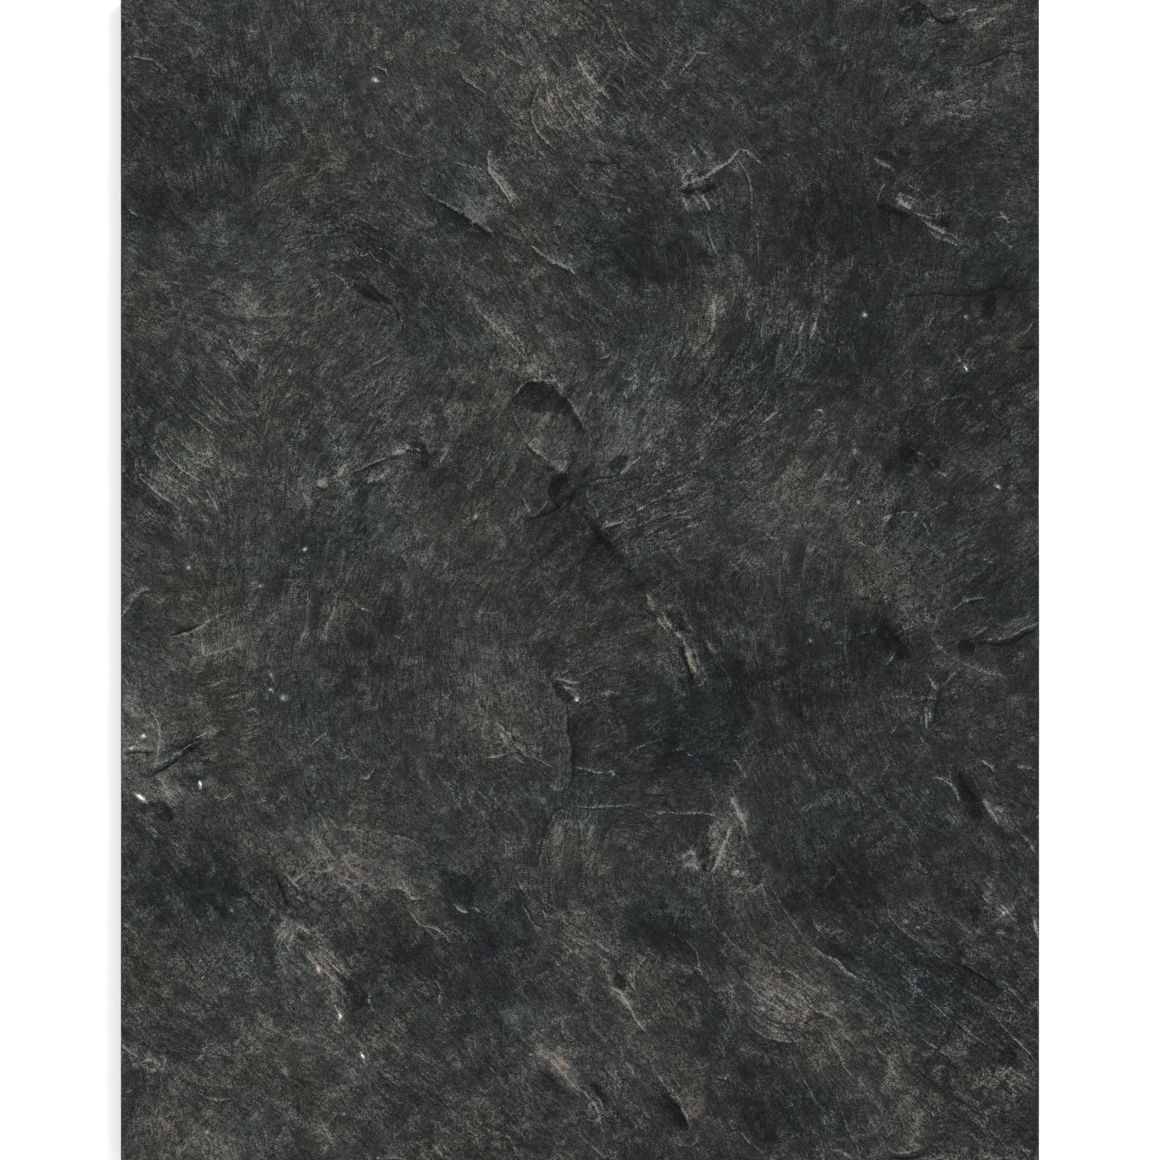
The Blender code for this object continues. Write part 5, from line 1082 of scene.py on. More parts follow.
# Bright chips and crystals: centre, half length, half width, angle, strength.
SPECKS = [
    ((-134, 327), 2.4, 1.8, 0, 0.9), ((-280, 301), 1.2, 1.0, 0, 0.5),
    ((-243, 52), 2.2, 1.2, 0, 0.7), ((-238, 46), 1.2, 1.7, 0, 0.6),
    ((-190, 137), 1.3, 1.1, 0, 0.7), ((-180, 20), 2.0, 1.4, 20, 1.5),
    ((-256, 8), 1.8, 1.4, 0, 1.2), ((-101, 29), 1.4, 1.1, 0, 0.6),
    ((-95, 107), 1.2, 1.2, 0, 0.6), ((-86, 110), 1.8, 0.9, 40, 0.7),
    ((-58, 139), 1.3, 1.2, 0, 0.8), ((-70, 129), 1.3, 1.0, 0, 0.7),
    ((-68, 42), 1.8, 1.5, 0, 1.0), ((-95, 27), 1.3, 0.9, 30, 0.7),
    ((58, 58), 1.6, 1.2, 30, 0.7), ((55, 76), 2.0, 1.2, 0, 0.6),
    ((186, 173), 1.8, 1.6, 60, 1.7), ((252, 172), 1.6, 1.4, 0, 1.6),
    ((248, 143), 1.2, 1.0, 0, 0.9), ((252, 138), 1.6, 0.8, 115, 0.8),
    ((248, 130), 1.0, 0.9, 0, 0.6), ((273, 61), 2.2, 1.4, 150, 1.7),
    ((182, 51), 1.6, 1.3, 0, 1.0), ((197, 66), 1.3, 1.1, 0, 0.8),
    ((157, 111), 1.6, 0.9, 0, 0.7), ((219, 43), 1.3, 2.0, 0, 1.0),
    ((179, 84), 2.0, 2.4, 0, 0.6), ((174, 60), 1.8, 1.0, 20, 0.7),
    ((-209, -4), 2.0, 1.2, 10, 0.9), ((-194, -77), 2.3, 2.0, 0, 1.2),
    ((-202, -72), 1.6, 1.2, 60, 0.8), ((-202, -62), 1.5, 1.0, 70, 0.7),
    ((-285, -102), 1.9, 1.5, 0, 1.0), ((-293, -110), 1.5, 1.2, 0, 0.8),
    ((-248, -133), 0.9, 2.0, 15, 1.1), ((-288, -154), 1.3, 1.0, 0, 0.7),
    ((-278, -167), 1.2, 0.9, 0, 0.6), ((-142, -19), 1.2, 1.0, 0, 0.4),
    ((-2, -78), 1.7, 1.2, 20, 1.0), ((22, -127), 1.2, 0.9, 0, 0.1),
    ((8, -139), 1.0, 1.2, 0, 0.7), ((102, -190), 2.0, 1.6, 0, 1.0),
    ((151, -40), 0.9, 1.9, 30, 0.6), ((71, -31), 1.3, 1.3, 0, 0.8),
    ((-228, -216), 1.8, 1.2, 130, 1.0), ((-220, -210), 1.5, 1.1, 0, 0.6),
    ((-171, -255), 1.5, 1.8, 0, 1.0), ((-157, -285), 1.6, 2.0, 30, 0.8),
    ((-138, -275), 1.2, 1.5, 0, 0.7), ((-138, -282), 1.4, 1.6, 0, 0.7),
    ((-288, -289), 1.1, 1.0, 0, 0.8), ((-247, -260), 1.8, 0.8, 0, 0.6),
    ((-244, -361), 1.4, 1.1, 0, 0.8), ((-154, -349), 1.5, 1.2, 0, 0.9),
    ((-193, -320), 1.6, 1.0, 140, 0.4), ((-142, -311), 2.2, 0.9, 120, 1.0), ((-32, -310), 1.2, 1.1, 0, 0.8),
    ((33, -258), 0.9, 1.8, 20, 0.7), ((39, -234), 0.9, 0.9, 0, 0.7),
    ((-2, -242), 1.1, 1.8, 0, 0.8), ((213, -223), 1.6, 1.0, 0, 0.9),
    ((221, -227), 1.9, 1.1, 10, 1.0), ((226, -224), 1.4, 0.9, 30, 0.8),
    ((204, -232), 1.2, 1.2, 0, 0.6), ((262, -289), 1.0, 0.9, 0, 0.6),
    ((278, -217), 1.8, 1.2, 30, 0.8), ((112, -345), 1.3, 0.9, 30, 0.7),
    ((120, -280), 1.6, 1.2, 0, 0.9), ((83, -316), 1.4, 1.1, 0, 0.6),
    ((-287, -142), 3.0, 1.0, 145, 1.2), ((221, 322), 1.0, 1.0, 0, 0.6), ((281, 217), 1.4, 1.1, 0, 0.7),
]

# ---------------------------------------------------------------------------------------
# How finely the face is meshed, and its unnamed fine relief, in millimetres.

COLUMNS, ROWS = 266, 337
CELL = 2 * HALF_X / COLUMNS
BREAK_WIDTH = 1.3
END_FADE = 0.22
PIT_RIM = 1.0
PIT_FLOOR = 0.62
DRAWN_IN = 1.3

# The raggedness of every break and line: cell, shift, seed.
RAGGED = [(17.0, 1.1, 21), (6.5, 0.7, 22)]

# Layers of tone and relief on the mesh: cell across, reach along the grain, share, seed.
BANDS = [(9.5, 14.0, 0.6, 31), (6.0, 9.0, 1.0, 32), (4.2, 6.0, 1.0, 33)]
CLOUDS = [(12.0, 0.0, 0.7, 34), (6.5, 0.0, 1.0, 35), (4.6, 0.0, 1.0, 36)]
CLOUD_WARP = [(24.0, 7.0, 43), (9.0, 3.5, 44)]
BAND_HEIGHT, CLOUD_HEIGHT = 0.17, 0.20

# Thin layers that step down across the face: cell and share of each octave, and the steps.
LEVELS = [(44.0, 1.0, 37), (21.0, 0.5, 38), (9.0, 0.22, 39)]
LEVEL_COUNT, LEVEL_HEIGHT = 2.6, 0.22
LEVEL_BANDING = 0.12

# How far apart a smear along the grain is sampled, in cells, and the seeds of a shift.
SMEAR_STEP = 0.8
UPWARD_SEED = 50

# Line channels: lines in one channel keep this far apart, and fade out past the edge.
CHANNEL_GAP = 9.0
CHANNEL_FADE = 3.2
LINE_END_FADE = 0.12
LINE_TIP = 0.5
LINE_WIDTH = 0.85
LINE_CHANNELS = 5
POCKET_REACH = 8.0
SOFT_LIGHT, SOFT_SHADE = 0.68, 0.60
SPECK_CHANNELS = 2

# Unnamed hairlines that follow the grain. Lengths are in millimetres, the sway in radians.
HAIR_COUNT = 900
HAIR_SEED = 5
HAIR_LENGTHS, HAIR_STEP, HAIR_SWAY = (8.0, 34.0), 4.0, 0.10
# HAIR_SHADES is the strength of the painted shadow beside each hairline.
HAIR_PALES, HAIR_SHADES, HAIR_WIDTHS = (0.12, 0.34), (0.0, 0.15), (0.45, 0.75)
DARK_HAIR_SHARE, DARK_HAIR = 0.25, -0.8


def ease(value):
    """A smooth step from 0 to 1 as value goes from 0 to 1."""
    value = np.clip(value, 0.0, 1.0)
    return value * value * (3.0 - 2.0 * value)


def uneven(x, y, seed, cells=LATTICE):
    """Smooth random heights from -1 to 1, on a lattice of unit cells that repeats."""
    lattice = np.random.default_rng(seed).uniform(-1.0, 1.0, (cells, cells))
    column, row = np.floor(x), np.floor(y)
    across, up = ease(x - column), ease(y - row)
    left, low = column.astype(int) % cells, row.astype(int) % cells
    right, high = (left + 1) % cells, (low + 1) % cells
    below = lattice[low, left] * (1 - across) + lattice[low, right] * across
    above = lattice[high, left] * (1 - across) + lattice[high, right] * across
    return below * (1 - up) + above * up


def beside_line(x, y, line):
    """The signed distance to a line, positive on its left, and the share of it walked."""
    line = np.array(line, float)
    spans = np.hypot(*np.diff(line, axis=0).T)
    nearest = np.full(x.shape, np.inf)
    signed = np.zeros(x.shape)
    walked = np.zeros(x.shape)
    before = 0.0
    for (ax, ay), (bx, by), span in zip(line[:-1], line[1:], spans):
        dx, dy = (bx - ax) / span, (by - ay) / span
        along = np.clip((x - ax) * dx + (y - ay) * dy, 0.0, span)
        gap = np.hypot(x - ax - along * dx, y - ay - along * dy)
        left = np.where((y - ay) * dx - (x - ax) * dy >= 0.0, 1.0, -1.0)
        closer = gap < nearest
        nearest = np.where(closer, gap, nearest)
        signed = np.where(closer, left * gap, signed)
        walked = np.where(closer, before + along, walked)
        before += span
    return signed, walked / before


def end_fade(walked, share=END_FADE):
    """Full strength along a line, fading to nothing at both ends."""
    return ease(np.minimum(walked, 1.0 - walked) / share)


def from_centre(x, y, centre, half_length, half_width, angle):
    """Where each point is in an ellipse's own frame, in units of its half sizes."""
    turn = math.radians(angle)
    across, up = x - centre[0], y - centre[1]
    along = across * math.cos(turn) + up * math.sin(turn)
    aside = up * math.cos(turn) - across * math.sin(turn)
    return along / half_length, aside / half_width


def slow_height(x, y):
    """The warp and the uneven split, without the named features."""
    height = np.zeros(x.shape)
    for wave, direction, phase, size in WARP:
        turn = math.radians(direction)
        run = (x * math.cos(turn) + y * math.sin(turn)) / wave
        height += size * np.sin(2 * math.pi * run + math.radians(phase))
    for length, width, angle, size, seed in SPLIT:
        along, aside = from_centre(x, y, (0, 0), length, width, angle)
        height += size * uneven(along, aside, seed)
    for centre, half_length, half_width, angle, size in SWELLS:
        along, aside = from_centre(x, y, centre, half_length, half_width, angle)
        height += size * np.exp(-along ** 2 - aside ** 2)
    return height


def feature_height(x, y):
    """The ledges, ridges, grooves and pits."""
    height = np.zeros(x.shape)
    for rise, reach, line in LEDGES.values():
        signed, walked = beside_line(x, y, line)
        side = np.clip(signed / (BREAK_WIDTH / 2), -1.0, 1.0)
        healed = np.exp(-np.maximum(np.abs(signed) - BREAK_WIDTH / 2, 0.0) / reach)
        height += rise / 2 * side * healed * end_fade(walked)
    for size, half_width, line in RIDGES.values():
        signed, walked = beside_line(x, y, line)
        crest = np.clip(1.0 - np.abs(signed) / half_width, 0.0, 1.0)
        height += size * crest * end_fade(walked)
    for centre, half_length, half_width, angle, depth in PITS.values():
        out = np.hypot(*from_centre(x, y, centre, half_length, half_width, angle))
        height -= depth * ease((PIT_RIM - out) / (PIT_RIM - PIT_FLOOR))
    return height


def grain_angle(x, y):
    """The grain's direction in radians, blended from the places named nearby."""
    cosine = np.zeros(x.shape)
    sine = np.zeros(x.shape)
    for (at_x, at_y), degrees in GRAIN:
        weight = 1.0 / (1.0 + ((x - at_x) ** 2 + (y - at_y) ** 2) / GRAIN_REACH ** 2) ** 3
        cosine += weight * math.cos(math.radians(2 * degrees))
        sine += weight * math.sin(math.radians(2 * degrees))
    return np.arctan2(sine, cosine) / 2


def streaked(x, y, angle, cell, reach, seed):
    """Random heights smeared along the grain."""
    steps = np.arange(-reach, reach + 1e-6, cell * SMEAR_STEP)
    total = np.zeros(x.shape)
    for step in steps:
        total += uneven((x + step * np.cos(angle)) / cell, (y + step * np.sin(angle)) / cell,
                        seed, FINE_LATTICE)
    return total / math.sqrt(len(steps))


def layered(x, y, angle, layers):
    """The sum of random layers, each brought to the same spread first."""
    total = np.zeros(x.shape)
    for cell, reach, share, seed in layers:
        if reach:
            layer = streaked(x, y, angle, cell, reach, seed)
        else:
            layer = uneven(x / cell, y / cell, seed, FINE_LATTICE)
        total += share * layer / layer.std()
    return total / math.sqrt(sum(share ** 2 for _, _, share, _ in layers))


def broad_layers(x, y, angle):
    """Bands along the grain, clouds, and the level whose contours are the thin layers."""
    bands = layered(x, y, angle, BANDS)
    warped_x, warped_y = shifted(x, y, CLOUD_WARP)
    clouds = layered(warped_x, warped_y, angle, CLOUDS)
    level = sum(share * uneven(warped_x / cell, warped_y / cell, seed, FINE_LATTICE)
                for cell, share, seed in LEVELS)
    return np.stack([bands, clouds, LEVEL_COUNT * level + LEVEL_BANDING * bands], -1)


def fine_height(broad):
    """The relief between the named features."""
    bands, clouds, level = np.moveaxis(broad, -1, 0)
    return BAND_HEIGHT * bands + CLOUD_HEIGHT * clouds + LEVEL_HEIGHT * (level - np.floor(level))


def shifted(x, y, warp):
    """The place shifted by smooth random amounts: cell, shift, seed."""
    for cell, shift, seed in warp:
        x, y = (x + shift * uneven(x / cell, y / cell, seed, FINE_LATTICE),
                y + shift * uneven(x / cell, y / cell, seed + UPWARD_SEED, FINE_LATTICE))
    return x, y


def ragged(x, y):
    """The place shifted a little, so that straight lines through it come out ragged."""
    return shifted(x, y, RAGGED)


def face_grid():
    """The grid's points, with cells drawn in towards the ledges so that the breaks are crisp."""
    x, y = np.meshgrid(np.linspace(-HALF_X, HALF_X, COLUMNS + 1),
                       np.linspace(-HALF_Y, HALF_Y, ROWS + 1))
    reach = DRAWN_IN * CELL
    step = 0.05
    for _, _, line in LEDGES.values():
        signed, walked = beside_line(*ragged(x, y), line)
        right_of, _ = beside_line(*ragged(x + step, y), line)
        above, _ = beside_line(*ragged(x, y + step), line)
        slope_x, slope_y = (right_of - signed) / step, (above - signed) / step
        steep = np.maximum(np.hypot(slope_x, slope_y), 0.5)
        gap = np.abs(signed)
        close = BREAK_WIDTH / 2 + gap ** 2 / reach * (1.0 - BREAK_WIDTH / 2 / reach)
        moved = np.where((gap < reach) & (walked > 0.0) & (walked < 1.0), close - gap, 0.0)
        moved = np.clip(moved * np.sign(signed), -CELL / 2, CELL / 2)
        x = x + moved * slope_x / steep ** 2
        y = y + moved * slope_y / steep ** 2
    x[:, 0], x[:, -1] = -HALF_X, HALF_X
    y[0], y[-1] = -HALF_Y, HALF_Y
    return np.clip(x, -HALF_X, HALF_X), np.clip(y, -HALF_Y, HALF_Y)


def near_rows(line, margin):
    """The part of the grid within a margin of a line, as slices of rows and columns."""
    xs, ys = [p[0] for p in line], [p[1] for p in line]
    left = max(0, int((min(xs) - margin + HALF_X) / CELL))
    right = min(COLUMNS + 1, int((max(xs) + margin + HALF_X) / CELL) + 2)
    tall = 2 * HALF_Y / ROWS
    low = max(0, int((min(ys) - margin + HALF_Y) / tall))
    high = min(ROWS + 1, int((max(ys) + margin + HALF_Y) / tall) + 2)
    return slice(low, high), slice(left, right)


def hairlines():
    """Unnamed fine lines that start at random places and follow the grain."""
    draw = np.random.default_rng(HAIR_SEED)
    lines = []
    for _ in range(HAIR_COUNT):
        place = np.array([draw.uniform(-HALF_X, HALF_X), draw.uniform(-HALF_Y, HALF_Y)])
        length, pale = draw.uniform(*HAIR_LENGTHS), draw.uniform(*HAIR_PALES)
        heading = draw.choice([-1.0, 1.0])
        points = [tuple(place)]
        for _ in range(round(length / HAIR_STEP)):
            angle = float(grain_angle(place[:1], place[1:])[0]) + draw.normal(0.0, HAIR_SWAY)
            ahead = heading * np.array([math.cos(angle), math.sin(angle)])
            if len(points) > 1 and ahead @ (place - np.array(points[-2])) < 0:
                ahead, heading = -ahead, -heading
            place = place + HAIR_STEP * ahead
            points.append(tuple(place))
        if len(points) > 2:
            sign = DARK_HAIR if draw.random() < DARK_HAIR_SHARE else 1.0
            lines.append((sign * pale, draw.uniform(*HAIR_SHADES), draw.uniform(*HAIR_WIDTHS),
                          points))
    return lines


def line_channels(x, y):
    """For each channel: distance in half widths, pale and shade strength at each point."""
    place_x, place_y = ragged(x, y)
    channels = [np.zeros(x.shape + (3,)) for _ in range(LINE_CHANNELS)]
    taken = [np.full(x.shape, np.inf) for _ in range(LINE_CHANNELS)]
    for pale, shade, width, line in NAMED_LINES + hairlines():
        rows = near_rows(line, CHANNEL_GAP)
        signed, walked = beside_line(place_x[rows], place_y[rows], line)
        gap = np.abs(signed)
        if not gap.size or gap.min() > CELL:
            continue
        core = gap < 2 * CELL
        clear = [layer[rows][core].min(initial=np.inf) for layer in taken]
        free = [i for i, room in enumerate(clear) if room > CHANNEL_GAP - 2 * CELL]
        if not free:
            continue
        chosen = free[0]
        fade = ease((CHANNEL_FADE + 2.0 * width - gap) / 2.0) * end_fade(walked, LINE_END_FADE)
        closer = gap < taken[chosen][rows]
        taper = LINE_TIP + (1.0 - LINE_TIP) * ease(2.0 * np.minimum(walked, 1.0 - walked))
        values = np.stack([signed / (LINE_WIDTH * width * taper), pale * fade, shade * fade], -1)
        channels[chosen][rows] = np.where(closer[..., None], values, channels[chosen][rows])
        taken[chosen][rows] = np.minimum(taken[chosen][rows], gap)
    return channels


def speck_channels(x, y):
    """For each channel: place in the nearest speck's own frame, and its strength."""
    channels = [np.zeros(x.shape + (3,)) for _ in range(SPECK_CHANNELS)]
    taken = [np.full(x.shape, np.inf) for _ in range(SPECK_CHANNELS)]
    for centre, half_length, half_width, angle, strength in SPECKS:
        rows = near_rows([centre], CHANNEL_GAP)
        along, aside = from_centre(x[rows], y[rows], centre, half_length, half_width, angle)
        gap = np.hypot(x[rows] - centre[0], y[rows] - centre[1])
        chosen = next((i for i in range(SPECK_CHANNELS)
                       if taken[i][rows][gap < 2 * CELL].min(initial=np.inf) > CHANNEL_GAP / 2),
                      None)
        if chosen is None:
            continue
        values = np.stack([along, aside, strength * ease((CHANNEL_FADE + 2.0 - gap) / 2.0)], -1)
        closer = gap < taken[chosen][rows]
        channels[chosen][rows] = np.where(closer[..., None], values, channels[chosen][rows])
        taken[chosen][rows] = np.minimum(taken[chosen][rows], gap)
    return channels


def streakiness(x, y):
    """How far the face is drawn in long fine streaks, from 0 to about 1."""
    share = np.full(x.shape, STREAKY_FLOOR)
    for centre, half_length, half_width, angle, size in STREAKY:
        along, aside = from_centre(x, y, centre, half_length, half_width, angle)
        share = np.maximum(share, size * np.exp(-(along ** 2 + aside ** 2) * STREAKY_FALL))
    return share


def outlined(x, y, outline):
    """The signed distance to a closed outline, negative inside it."""
    gap = np.abs(beside_line(x, y, outline + outline[:1])[0])
    inside = np.zeros(x.shape, bool)
    for (ax, ay), (bx, by) in zip(outline, outline[1:] + outline[:1]):
        if ay != by:
            crossed = (ay > y) != (by > y)
            inside ^= crossed & (x < ax + (bx - ax) * (y - ay) / (by - ay))
    return np.where(inside, -gap, gap)


def pocket_shapes(x, y):
    """The distance to the nearest pocket's outline, and that pocket's tone and warmth."""
    place_x, place_y = ragged(x, y)
    shapes = np.zeros(x.shape + (3,))
    shapes[..., 0] = POCKET_REACH
    for tone, warm, outline in POCKETS:
        rows = near_rows(outline, POCKET_REACH + 2 * CELL)
        gap = outlined(place_x[rows], place_y[rows], outline)
        values = np.stack([gap, np.full(gap.shape, tone), np.full(gap.shape, warm)], -1)
        closer = gap < shapes[rows][..., 0]
        shapes[rows] = np.where(closer[..., None], values, shapes[rows])
    return shapes


def ground(x, y, angle):
    """Tone, warmth and crumble at each point, from the patches and soft lines."""
    feather = streaked(x, y, angle, FEATHER_CELL, FEATHER_REACH, FEATHER_SEED)
    feather *= FEATHER_SHIFT / feather.std()
    place_x, place_y = shifted(x, y, PATCH_WARP)
    place_x, place_y = place_x + feather * np.cos(angle), place_y + feather * np.sin(angle)
    tone = ACROSS_TONE * np.tanh(x / ACROSS_REACH)
    warmth = ACROSS_WARMTH * x / (2 * HALF_X)
    crumble = np.full(x.shape, BASE_CRUMBLE)
    for centre, half_length, half_width, turn, pale, warm, broken in PATCHES:
        along, aside = from_centre(place_x, place_y, centre, half_length, half_width, turn)
        share = np.exp(-(along ** 2 + aside ** 2) * PATCH_FALL)
        tone = tone + pale * share
        warmth = warmth + warm * share
        crumble = crumble + broken * share
    # Soft strokes: painted shade beside the breaks, and pale stone partly painted light along them.
    line_x, line_y = ragged(x, y)
    for pale, warm, half_width, line in SOFT_LINES:
        rows = near_rows(line, 3 * half_width)
        signed, walked = beside_line(line_x[rows], line_y[rows], line)
        share = np.exp(-(signed / half_width) ** 2) * end_fade(walked)
        tone[rows] += (SOFT_LIGHT if pale > 0 else SOFT_SHADE) * pale * share
        warmth[rows] += warm * share
    return np.stack([tone, warmth, np.clip(crumble, 0.0, MOST_CRUMBLE)], -1)


# ---------------------------------------------------------------------------------------
# The mesh: the riven face, a worn arris all round, four sawn edges and the back.

# How far the arris is worn down, how unevenly, and how far in for each step down.
ARRIS_WEAR, WEAR_SPREAD, WEAR_LENGTH = 0.28, 0.5, 5.0
ARRIS_SLANT = 0.8
ARRIS_SEED = 71
# Chips come where a random height passes a level.
CHIP_DEPTH, CHIP_LENGTH, CHIP_LEVEL, CHIP_ROW = 2.0, 9.0, 0.55, 7.0
BAKE_NAME = "OFBake"
# The bake's layout in shares of the image: the face's length, and how small the back is.
BAKE_LENGTH, BAKE_MARGIN, BAKE_STRIP = 0.885, 0.012, 0.036
BACK_LONG, BACK_WIDE = 0.2, 0.08
FACE_PART, EDGE_PART, BACK_PART = 0, 1, 2


def ring_of_grid():
    """The grid's border indices in order, counter-clockwise from the lower left corner."""
    index = np.arange((ROWS + 1) * (COLUMNS + 1)).reshape(ROWS + 1, COLUMNS + 1)
    sides = [index[0, :-1], index[:-1, -1], index[-1, :0:-1], index[:0:-1, 0]]
    return np.concatenate(sides), [len(side) for side in sides]


def chip_size(count, seed):
    """How far the arris has worn back at each border point, with a chip here and there."""
    at = np.arange(count) * CELL
    wear = 1.0 + WEAR_SPREAD * uneven(at / WEAR_LENGTH, np.zeros(count), seed, ARRIS_LATTICE)
    height = uneven(at / CHIP_LENGTH, np.full(count, CHIP_ROW), seed + 1, ARRIS_LATTICE)
    return ARRIS_WEAR * wear + CHIP_DEPTH * np.clip(height - CHIP_LEVEL, 0.0, 1.0)


def slab_geometry():
    """Points and faces of the slab, the part each face belongs to and the face's fields."""
    x, y = face_grid()
    angle = grain_angle(x, y)
    broad = broad_layers(x, y, angle)
    z = THICKNESS + slow_height(x, y) + feature_height(*ragged(x, y)) + fine_height(broad)
    fields = {"grain": np.stack([np.cos(2 * angle), np.sin(2 * angle), streakiness(x, y)], -1),
              "ground": ground(x, y, angle), "broad": broad}
    for i, channel in enumerate(line_channels(x, y)):
        fields[f"lines_{i}"] = channel
    for i, channel in enumerate(speck_channels(x, y)):
        fields[f"specks_{i}"] = channel
    fields["pockets"] = pocket_shapes(x, y)

    ring, side_counts = ring_of_grid()
    top = np.stack([x.ravel(), y.ravel(), z.ravel()], -1)
    wall = top[ring].copy()
    worn = chip_size(len(ring), ARRIS_SEED)
    wall[:, 2] -= worn
    inset_x = (np.abs(np.abs(wall[:, 0]) - HALF_X) < 1e-6) * np.sign(wall[:, 0])
    inset_y = (np.abs(np.abs(wall[:, 1]) - HALF_Y) < 1e-6) * np.sign(wall[:, 1])
    top[ring, 0] -= inset_x * worn * ARRIS_SLANT
    top[ring, 1] -= inset_y * worn * ARRIS_SLANT
    starts = np.cumsum([0] + side_counts[:-1])
    feet = wall[starts] * [1, 1, 0]
    points = np.concatenate([top, wall, feet])

    corner = np.arange((ROWS + 1) * (COLUMNS + 1)).reshape(ROWS + 1, COLUMNS + 1)
    quads = np.stack([corner[:-1, :-1], corner[:-1, 1:], corner[1:, 1:], corner[1:, :-1]], -1)
    faces = quads.reshape(-1, 4).tolist()
    first = len(top)
    count = len(ring)
    faces += [[first + i, first + (i + 1) % count, int(ring[(i + 1) % count]), int(ring[i])]
              for i in range(count)]
    parts = [FACE_PART] * len(faces)
    foot = first + count
    for side in range(4):
        run = [first + (int(starts[side]) + i) % count for i in range(side_counts[side] + 1)]
        faces.append([foot + side, foot + (side + 1) % 4] + run[::-1])
        parts.append(EDGE_PART)
    faces.append([foot + 3, foot + 2, foot + 1, foot])
    parts.append(BACK_PART)
    for name, field in fields.items():
        flat = field.reshape(-1, 3)
        fields[name] = np.concatenate([flat, flat[ring], np.zeros((4, 3))])
    return points, faces, parts, fields


def bake_places(points, faces, parts):
    """Where each face corner lies in the bake: the face large, then the edges and the back."""
    scale = BAKE_LENGTH / (2 * HALF_Y)
    above = BAKE_MARGIN + 2 * HALF_X * scale + BAKE_MARGIN
    places = []
    side = 0
    for face, part in zip(faces, parts):
        x, y, z = points[face].T
        if part == FACE_PART:
            u, v = BAKE_MARGIN + (y + HALF_Y) * scale, BAKE_MARGIN + (x + HALF_X) * scale
        elif part == EDGE_PART:
            run = x + HALF_X if side % 2 == 0 else y + HALF_Y
            u, v = BAKE_MARGIN + run * scale, above + side * BAKE_STRIP + z * scale
            side += 1
        else:
            u = BAKE_MARGIN + (y + HALF_Y) * scale * BACK_LONG
            v = above + 4 * BAKE_STRIP + (x + HALF_X) * scale * BACK_WIDE
        places.append(np.stack([u, v], -1))
    return np.concatenate(places)


def slab_mesh():
    """The slab's mesh, with its fields as attributes and its places in the bake."""
    points, faces, parts, fields = slab_geometry()
    mesh = bpy.data.meshes.new("riven_slate")
    mesh.from_pydata(points * MM, [], faces)
    mesh.polygons.foreach_set("material_index", np.array(parts, np.int32))
    smooth = np.array(parts) == FACE_PART
    mesh.polygons.foreach_set("use_smooth", smooth)
    for name, field in fields.items():
        layer = mesh.attributes.new(name, "FLOAT_VECTOR", "POINT")
        layer.data.foreach_set("vector", field.astype(np.float32).ravel())
    bake = mesh.uv_layers.new(name=BAKE_NAME)
    bake.data.foreach_set("uv", bake_places(points, faces, parts).astype(np.float32).ravel())
    mesh.update()
    mesh.set_sharp_from_angle(angle=math.radians(50))
    return mesh


# ---------------------------------------------------------------------------------------
# Materials.


class Graph:
    """Adds nodes to a material. An input is a value or another node's output."""

    def __init__(self, name):
        self.material = bpy.data.materials.new(name)
        self.material.use_nodes = True
        self.tree = self.material.node_tree
        self.surface = self.tree.nodes["Principled BSDF"]

    def connect(self, value, socket):
        if isinstance(value, bpy.types.NodeSocket):
            self.tree.links.new(value, socket)
        else:
            socket.default_value = value

    def add(self, kind, inputs, **settings):
        node = self.tree.nodes.new(kind)
        for name, value in settings.items():
            setattr(node, name, value)
        for name, value in inputs.items():
            self.connect(value, node.inputs[name])
        return node

    def math(self, operation, first, second=0.0, third=0.0, clamp=False):
        node = self.add("ShaderNodeMath", {0: first, 1: second, 2: third},
                        operation=operation, use_clamp=clamp)
        return node.outputs[0]

    def vector(self, operation, first, second, third=(0.0, 0.0, 0.0)):
        node = self.add("ShaderNodeVectorMath", {0: first, 1: second, 2: third},
                        operation=operation)
        return node.outputs[0]

    def scaled(self, first, size):
        node = self.add("ShaderNodeVectorMath", {0: first, "Scale": size}, operation="SCALE")
        return node.outputs[0]

    def field(self, name):
        node = self.add("ShaderNodeAttribute", {}, attribute_name=name)
        return self.split(node.outputs["Vector"])

    def split(self, vector):
        return self.add("ShaderNodeSeparateXYZ", {0: vector}).outputs

    def noise(self, place, cell, detail=0.0, rough=0.5, dimensions="2D", distortion=0.0):
        """Noise about 0, from roughly -1 to 1."""
        node = self.add("ShaderNodeTexNoise",
                        {"Vector": place, "Scale": 1.0 / cell, "Detail": detail,
                         "Roughness": rough, "Distortion": distortion},
                        noise_dimensions=dimensions)
        return self.math("MULTIPLY_ADD", node.outputs["Fac"], 2.0, -1.0)

    def same(self, value):
        """A vector with one value in all three places."""
        return self.add("ShaderNodeCombineXYZ", {"X": value, "Y": value, "Z": value}).outputs[0]

    def turned(self, vector):
        """A vector on the face turned a quarter to the left."""
        part = self.split(vector)
        back = self.math("MULTIPLY", part["Y"], -1.0)
        return self.add("ShaderNodeCombineXYZ", {"X": back, "Y": part["X"]}).outputs[0]

    def total(self, terms):
        """The sum of value and weight pairs."""
        result = 0.0
        for value, weight in terms:
            result = self.math("MULTIPLY_ADD", value, weight, result)
        return result

    def set(self, **values):
        for name, value in values.items():
            self.connect(value, self.surface.inputs[name.replace("_", " ")])

    def bump(self, height):
        """Relief too fine for the mesh, from a height in millimetres."""
        node = self.add("ShaderNodeBump", {"Height": height, "Distance": MM, "Strength": 1.0})
        self.connect(node.outputs[0], self.surface.inputs["Normal"])


def millimetres(graph):
    """The place on the object in millimetres."""
    place = graph.add("ShaderNodeTexCoord", {}).outputs["Object"]
    return graph.scaled(place, 1.0 / MM)


